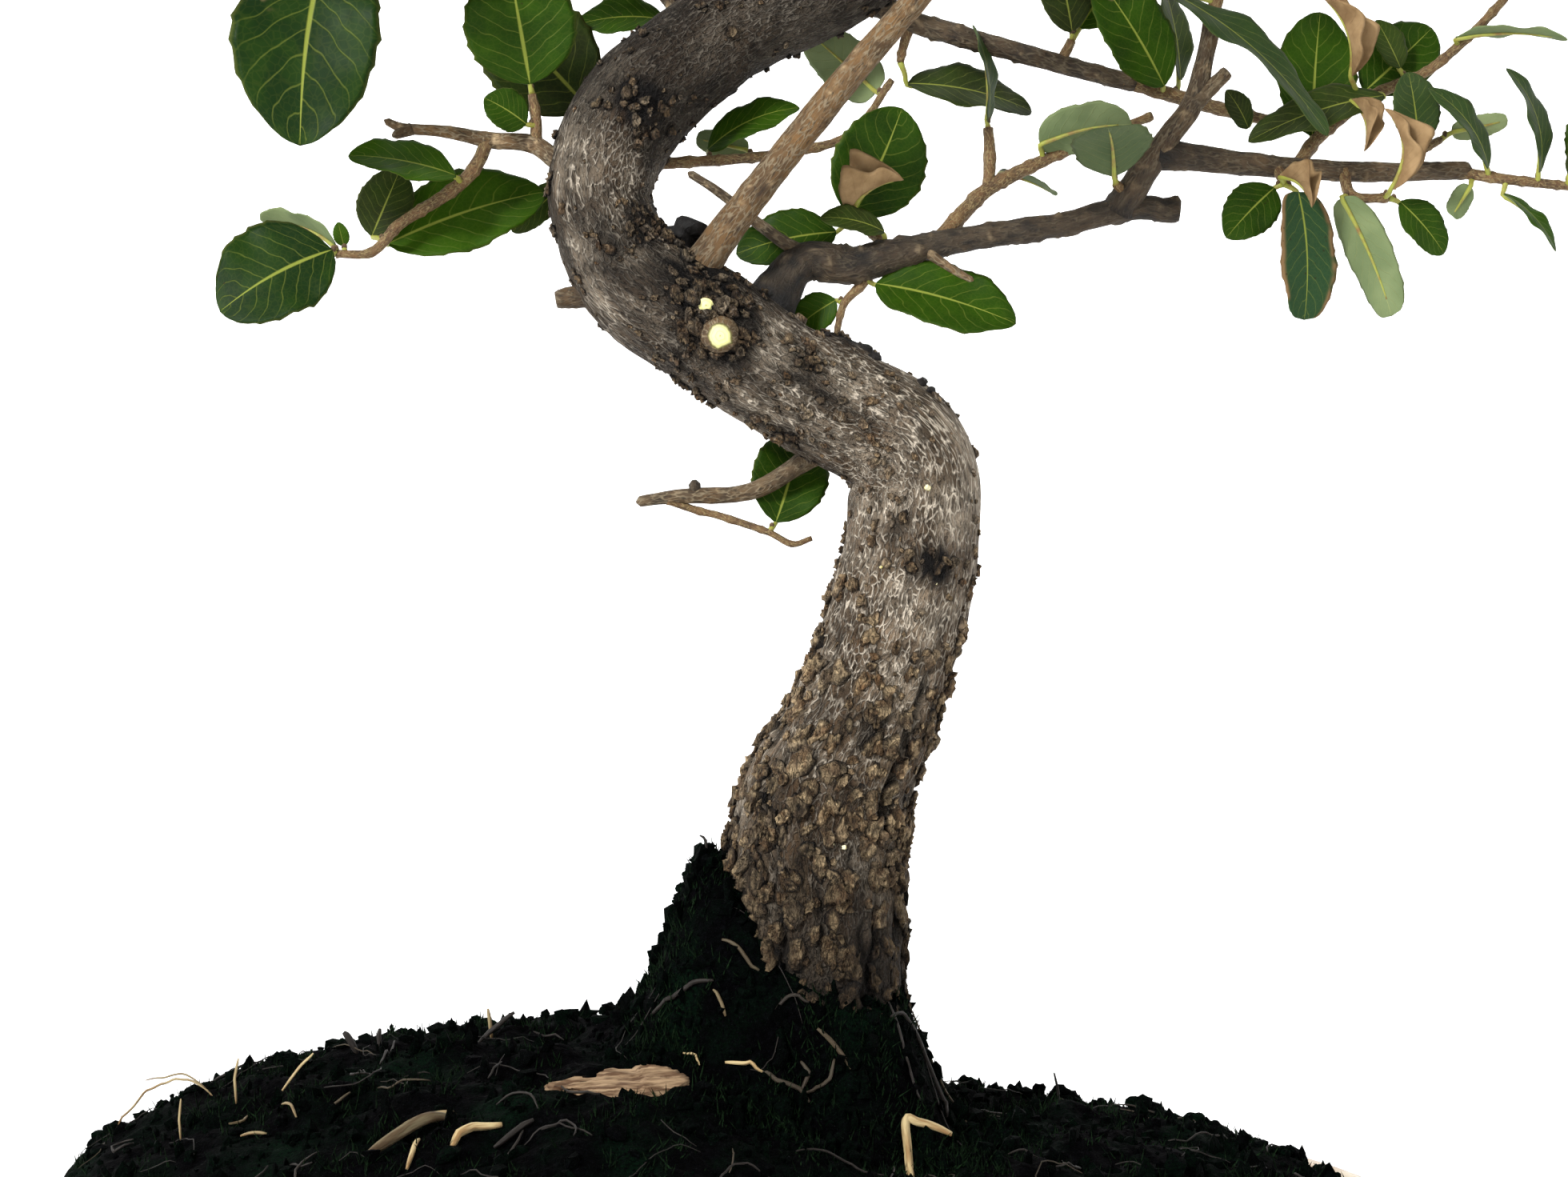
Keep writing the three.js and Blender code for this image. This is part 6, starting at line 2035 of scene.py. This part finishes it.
    def moss(self) -> None:
        """Grows moss, as short leaning blades, on the damp parts of the mound."""
        count = self.moss_count
        draw, lean_draw = random.Random(23), np.random.default_rng(23)
        spots = []
        while len(spots) < count:
            x, y = self.spot(draw, 0.35)
            if fractal((x / 20, y / 20, 8)) > draw.uniform(-0.2, 0.35):
                spread = draw.uniform(1.0, 3.0)
                spots += [(x + draw.gauss(0, spread), y + draw.gauss(0, spread)) for _ in range(12)]
        spots = spots[:count]
        swarm = Swarm(count, lambda bm: bmesh.ops.create_cone(
            bm, cap_ends=True, segments=3, radius1=1.0, radius2=0.0, depth=2.0))
        tall = (0.6 + 2.0 * lean_draw.random(count) ** 2) * MM
        lean = lean_draw.normal(0, 0.5, (2, count))
        up = units(np.stack((*lean, np.ones(count)), axis=1))
        side = units(np.cross(up, (0.0, 1.0, 0.0)))
        wide = (lean_draw.uniform(0.18, 0.42, count) * MM)[:, None]
        frames = np.stack((side * wide, np.cross(up, side) * wide, up * tall[:, None]), axis=2)
        origins = np.array([(x, y, self.top(x, y) - 0.4) for x, y in spots]) * MM + up * tall[:, None]
        tone = lean_draw.random((count, 1, 3)) * (1.0, 0.0, 0.0)
        swarm.settle(origins, frames, tone)
        swarm.finish("moss", [self.green], Slot.SOIL)

    def skyline(self, x: float) -> tuple[float, float]:
        """The place where the mound's outline is in the front view.

        Args:
            x: x as seen from the front, in millimetres.

        Returns:
            Its x and y in millimetres.
        """
        depths = np.linspace(-60.0, 110.0, 171)
        reach = 1 + depths * MM / FOCUS
        xs = EYE.x / MM + (x - EYE.x / MM) * reach
        rise = (self.height(xs, depths) - EYE.z / MM) / reach
        away = np.hypot(xs / (self.length / 2 - self.lip), depths / (self.width / 2 - self.lip))
        best = int(np.argmax(np.where(away < 0.95, rise, -np.inf)))
        return float(xs[best]), float(depths[best])

    def lumps(self) -> None:
        """Sets clods along the outline of the mound, each of some crumbs grown together."""
        draw = random.Random(41)
        growth = Growth()
        for place_x, reach in self.clods:
            x, y = self.skyline(place_x)
            for _ in range(6):
                half = reach * draw.uniform(0.4, 0.75)
                at_x, at_y = x + draw.gauss(0, 0.7) * reach, y + draw.gauss(0, 0.5) * reach
                level = self.top(at_x, at_y) + draw.uniform(0.2, 1.0) * half
                size = (1.2 * half * MM, half * MM, 0.9 * half * MM)
                growth.pellet((at_x * MM, at_y * MM, level * MM), size, draw.random() * TURN,
                              (draw.random(), 0.0, 0.0), finer=2, uneven=0.7)
        growth.finish("soil_clods", [self.earth], Slot.SOIL)

    def build(self) -> None:
        """Builds the mound and what grows on it."""
        self.mound()
        self.lumps()
        self.crumbs()
        self.moss()


@dataclass(frozen=True)
class Strand:
    """A fibre on the soil, in millimetres: x, y and lift over the soil of its points.

    Dark is a share, and arch how many radii its middle stands off the soil.
    """

    points: tuple[Point, ...]
    radius: float
    dark: float = 0.0
    arch: float = 1.0


@dataclass
class Litter:
    """Chip, straws, rootlets and fibres that lie on the soil."""

    soil: Soil
    fibre: Material
    wood: Material
    rootlet_count: int = 130
    # Half-axes of the oval that the rootlets stay in, and how near they come to the trunk.
    oval: tuple[float, float] = (160.0, 108.0)
    trunk_gap: float = 22.0
    straw_bent: Strand = Strand(((58, -26, 3), (47, -28, 0), (48, -46, 0)), 1.0, 0.05, 2.4)
    stick_left: Strand = Strand(((-74, -70, 0), (-66, -63, 0), (-58, -56, 0)), 1.3, 0.52, 2.4)
    chip_place: Point = (-21.0, -40.0, 0.12)
    chip_size: Point = (33.0, 13.0, 4.4)
    strands: tuple[Strand, ...] = (
        Strand(((-72, -60, 0), (-67, -57, 0), (-60, -55, 0), (-57, -53, 0)), 0.9, 0.25),
        Strand(((-55, -72, 0), (-54, -69, 0), (-51, -66, 0), (-45, -64, 0)), 1.0, 0.0),
        Strand(((-64, -78, 0), (-63, -67, 0)), 0.6, 0.2),
        Strand(((-46, -70, 0), (-42, -67, 0), (-38, -64, 0)), 0.7, 0.8),
        Strand(((-113, -26, -1), (-113.4, -26, 5), (-112.5, -26, 9.8)), 0.35, 0.3),
        Strand(((-103, -24, -1), (-98, -24, 5), (-95, -24, 8)), 0.35, 0.2),
        Strand(((-123, -7, -1), (-128, -6, 2), (-133, -6, 4.5), (-140, -6, 5), (-146, -6, 3),
                (-148, -6, -1)), 0.3, 0.3),
        Strand(((-125, -7, 1), (-131, -6, 5), (-140, -6, 8)), 0.24, 0.4),
        Strand(((93.3, 55, -1), (92.8, 55, 4), (91.7, 55, 9)), 0.35, 0.8),
        Strand(((129.5, 50, 0), (134, 50, 1), (137, 50, 0)), 0.4, 0.7),
        Strand(((-1, -3, -1), (-1.6, -3, 2.5), (-3, -3, 5)), 0.35, 0.9),
        Strand(((-124, -35, -1), (-124.4, -35, 4), (-124, -35, 9)), 0.3, 0.3),
        Strand(((-112, -38, 0), (-109, -36, 0), (-109, -32, 0)), 0.35, 0.5),
        Strand(((-107, -48, 0), (-101, -48, 0)), 0.4, 0.35),
        Strand(((-100, -36, 0), (-97, -40, 0), (-95, -44, 0)), 0.35, 0.4),
        Strand(((-88, -44, 0), (-84, -36, 0)), 0.35, 0.6),
        Strand(((-89, 2, -1), (-91, 2, 2), (-92.5, 2, 5)), 0.9, 1.0),
        Strand(((-84, 6, -1), (-84.3, 6, 2), (-84, 6, 4.5)), 0.6, 1.0),
        Strand(((-60, 13, 0), (-57, 14, 1), (-55, 14, 2), (-51, 14, 5)), 0.7, 1.0),
        Strand(((-57, 16, -1), (-57.5, 16, 3), (-58, 16, 7)), 0.5, 0.35),
        Strand(((-61, 10, -1), (-60.6, 10, 1.5), (-61, 10, 4)), 0.6, 1.0),
        Strand(((1, -23, 0), (-4, -22, 0), (-9, -22, 0), (-14, -21, 0)), 0.6, 0.75),
        Strand(((1, -24, 0), (3, -25, 0), (4, -26, 0)), 0.45, 0.5),
        Strand(((3, -20, 0), (7, -21, 0), (10, -22, 0), (12, -22, 0)), 0.5, 0.6),
        Strand(((16, -25, 0), (19, -24, 0), (24, -24, 0)), 0.45, 0.7),
        Strand(((26, -26, 0), (30, -27, 0), (34, -28, 0)), 0.6, 0.6),
        Strand(((4, -30, 0), (7, -30, 0), (10, -30, 0), (13, -31, 0)), 0.5, 0.0),
        Strand(((13, -31, 0), (16, -32, 0), (19, -32, 0), (22, -32, 0), (24, -33, 0)), 0.6, 0.65),
        Strand(((22, -32, 0), (24, -30, 0), (22, -29, 0)), 0.5, 0.65),
        Strand(((23, -32, 0), (27, -31, 0), (29, -30, 0), (30, -28, 0)), 0.5, 0.65),
        Strand(((44, -16, 0), (47, -12, 0), (50, -10, 0), (54, -8, 0), (56, -8, 0), (58, -8, 0),
                (58, -12, 0)), 0.6, 0.75),
        Strand(((-6, -30, 0), (-3, -30, 0), (-2, -32, 0)), 0.3, 0.2),
    )

    def course(self, strand: Strand, spacing: float = 1.0) -> Course:
        """Course of a strand over the mound.

        Args:
            strand: its plan.
            spacing: distance from sample to sample in millimetres.

        Returns:
            The course.
        """
        steps = np.linspace(0.0, 1.0, max(6, 4 * len(strand.points) - 3))
        marks = np.linspace(0.0, 1.0, len(strand.points))
        xs, ys, lifts = (np.interp(steps, marks, row) for row in zip(*strand.points))
        ground = self.soil.height(xs, ys)
        if strand.radius < 0.9:
            ground = np.maximum(ground, [self.soil.top(x, y) for x, y in zip(xs, ys)]) + 0.5
        heights = ground + lifts + strand.radius * (0.5 + strand.arch * np.sin(math.pi * steps))
        radii = strand.radius * (1 - 0.45 * np.abs(2 * steps - 1) ** 3)
        return Course.along(np.stack((xs, ys, heights, radii), axis=1) * MM, spacing)

    def straw(self, name: str, strand: Strand) -> None:
        """Builds a straw that stands for its node.

        Args:
            name: name of the node.
            strand: its plan.
        """
        growth = Growth()
        course = self.course(strand, 0.7)
        rows = len(course.run)
        split = np.array([[0.16 * math.sin(3 * TURN * k / 12 + i * 0.05) for k in range(12)]
                          for i in range(rows)])
        growth.stem(course, 12, 0, split * strand.radius * MM, (strand.dark, 0.0, 0.0))
        growth.finish(name + "_fibre", [self.fibre], Slot.STRAW, [name])

    def chip(self) -> None:
        """Builds the broken chip of wood, rough along its grain."""
        growth = Growth()
        x0, y0, turn = self.chip_place
        made = bmesh.ops.create_cube(growth.bm, size=1.0)["verts"]
        edges = list({edge for vertex in made for edge in vertex.link_edges})
        bmesh.ops.subdivide_edges(growth.bm, edges=edges, cuts=20, use_grid_fill=True)
        long, wide, thick = self.chip_size
        behind, front = self.soil.height(x0, y0 + 6), self.soil.height(x0, y0 - 6)
        slope = float(behind - front) / 12
        level = float(self.soil.height(x0, y0)) + 0.6
        for vertex in growth.bm.verts:
            x, y, z = vertex.co * 2
            end = 1 - 0.28 * abs(y + 0.25 * x) ** 1.5 + 0.08 * noise.noise(Vector((y * 5, 0.5, z)))
            ragged = 0.06 * noise.noise(Vector((x * 4, 3.0, z)))
            taper = 1 - (0.78 if x < 0 else 0.2) * abs(x) ** 1.6 + ragged
            rib = 0.9 * fractal((x * 2.2, y * 6.0, z), 3)
            px, py = x * end * long / 2, y * taper * wide / 2
            block = 0.3 + 0.5 * smooth_step(x, -1.0, 0.0) + 0.35 * smooth_step(x, 0.3, 0.42)
            pz = z * (thick / 2) * (1 - 0.3 * abs(y) ** 3) * block + rib * (0.9 if z > 0 else 0.2)
            vertex[growth.grain] = (py * MM, pz * MM, px * MM)
            pz += slope * py
            px, py = spun(px, py, turn)
            vertex.co = ((x0 + px) * MM, (y0 + py) * MM, (level + pz) * MM)
        for face in growth.bm.faces:
            face.smooth = True
        growth.finish("chip_of_wood", [self.wood], Slot.CHIP, ["wood_chip"])

    def rootlets(self) -> None:
        """Strews fine roots and bits of straw."""
        growth = Growth()
        for strand in self.strands:
            growth.stem(self.course(strand), 8, 0, marks=(strand.dark, 0.0, 0.0))
        draw = random.Random(31)
        for _ in range(self.rootlet_count):
            x, y = self.soil.spot(draw, 0.08)
            way, bend = draw.random() * TURN, draw.gauss(0, 0.5)
            step = draw.uniform(2.0, 6.0)
            points = [(x, y, 0.0)]
            for _ in range(draw.randint(3, 5)):
                x, y = x + step * math.cos(way), y + step * math.sin(way)
                way += bend
                points.append((x, y, draw.uniform(0, 1.2)))
            long, wide = self.oval
            if max(math.hypot(a / long, b / wide) for a, b, _ in points) > 1:
                continue
            if min(math.hypot(a - self.soil.trunk_x, b) for a, b, _ in points) < self.trunk_gap:
                continue
            radius = 0.12 + 0.25 * draw.random() ** 2
            strand = Strand(tuple(points), radius, 0.6 + 0.4 * draw.random())
            growth.stem(self.course(strand, 1.6), 5, 0, marks=(strand.dark, 0.0, 0.0))
        growth.finish("rootlets", [self.fibre], Slot.STRAW)

    def build(self) -> None:
        """Builds all the litter."""
        self.straw("straw_bent", self.straw_bent)
        self.straw("stick_left", self.stick_left)
        self.chip()
        self.rootlets()


def main() -> None:
    """Builds the studio and every piece of the bonsai."""
    logging.basicConfig(level=logging.INFO, format="%(message)s")
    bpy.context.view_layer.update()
    Studio().build()
    wrinkles, veins = wrinkle_group(), vein_group()
    bark = Bark("old_bark", wrinkles, roughness=0.86, bump=1.0, depth=0.0011, shine=0.2).build()
    limb_bark = Bark("limb_bark", wrinkles, roughness=0.8, bump=0.6, wrinkle=0.9, stretch=3.5,
                     middle=rgb(76, 66, 52), pale=rgb(106, 92, 72), warm=rgb(122, 90, 52),
                     ridge=rgb(140, 125, 100)).build()
    twig_bark = Bark("twig_bark", wrinkles, roughness=0.7, bump=0.5, wrinkle=0.6,
                     middle=rgb(98, 80, 52), pale=rgb(122, 102, 66),
                     ridge=rgb(138, 120, 82)).build()
    fresh = CutWood("fresh_cut", roughness=0.6, bump=0.3).build()
    sawn = CutWood("sawn_end", roughness=0.85, bump=0.5, heart=rgb(74, 58, 44),
                   ring=rgb(44, 34, 26), rim=rgb(96, 82, 62)).build()
    speck = Fibre("stuck_bits", pale=rgb(226, 220, 190), tan=rgb(186, 172, 96),
                  dark=rgb(24, 20, 18)).build()
    Trunk(bark, speck).build()
    Limbs(limb_bark, fresh, sawn).build()
    leaf_top = LeafTop("leaf_top", veins, roughness=0.5, bump=0.35, shine=0.07).build()
    underside = LeafTop("leaf_underside", veins, roughness=0.75, bump=0.5, shine=0.15,
                        relief=0.9, dark=rgb(70, 88, 58), light=rgb(122, 134, 94),
                        vein=rgb(146, 152, 98), rim=rgb(122, 126, 80)).build()
    petiole = Shoot("petiole", roughness=0.5, bump=0.2).build()
    for spray in [*seen_sprays(), *Crown().sprays()]:
        spray.build([leaf_top, underside, twig_bark, petiole])
    earth = Earth("earth", roughness=0.95, bump=0.9, depth=0.001, shine=0.03).build()
    green = Earth("moss_green", roughness=0.9, bump=0.3, shine=0.04, deep=rgb(5, 9, 7),
                  crumb=rgb(15, 27, 19), moss=rgb(36, 54, 34)).build()
    soil = Soil(earth, green)
    soil.build()
    fibre = Fibre("dry_fibre", roughness=0.7, bump=0.4).build()
    wood = Fibre("chip_wood", roughness=0.8, bump=0.5, pale=rgb(158, 132, 102),
                 tan=rgb(86, 62, 42)).build()
    Litter(soil, fibre, wood).build()
    glaze = Glaze("cream_glaze", roughness=0.26, bump=0.12).build()
    net = Plain("net", roughness=0.6, bump=0.3, tone=rgb(30, 30, 32), shade=rgb(46, 46, 48),
                scale=400.0).build()
    Pot(glaze, net).build()


if __name__ == "__main__":
    main()
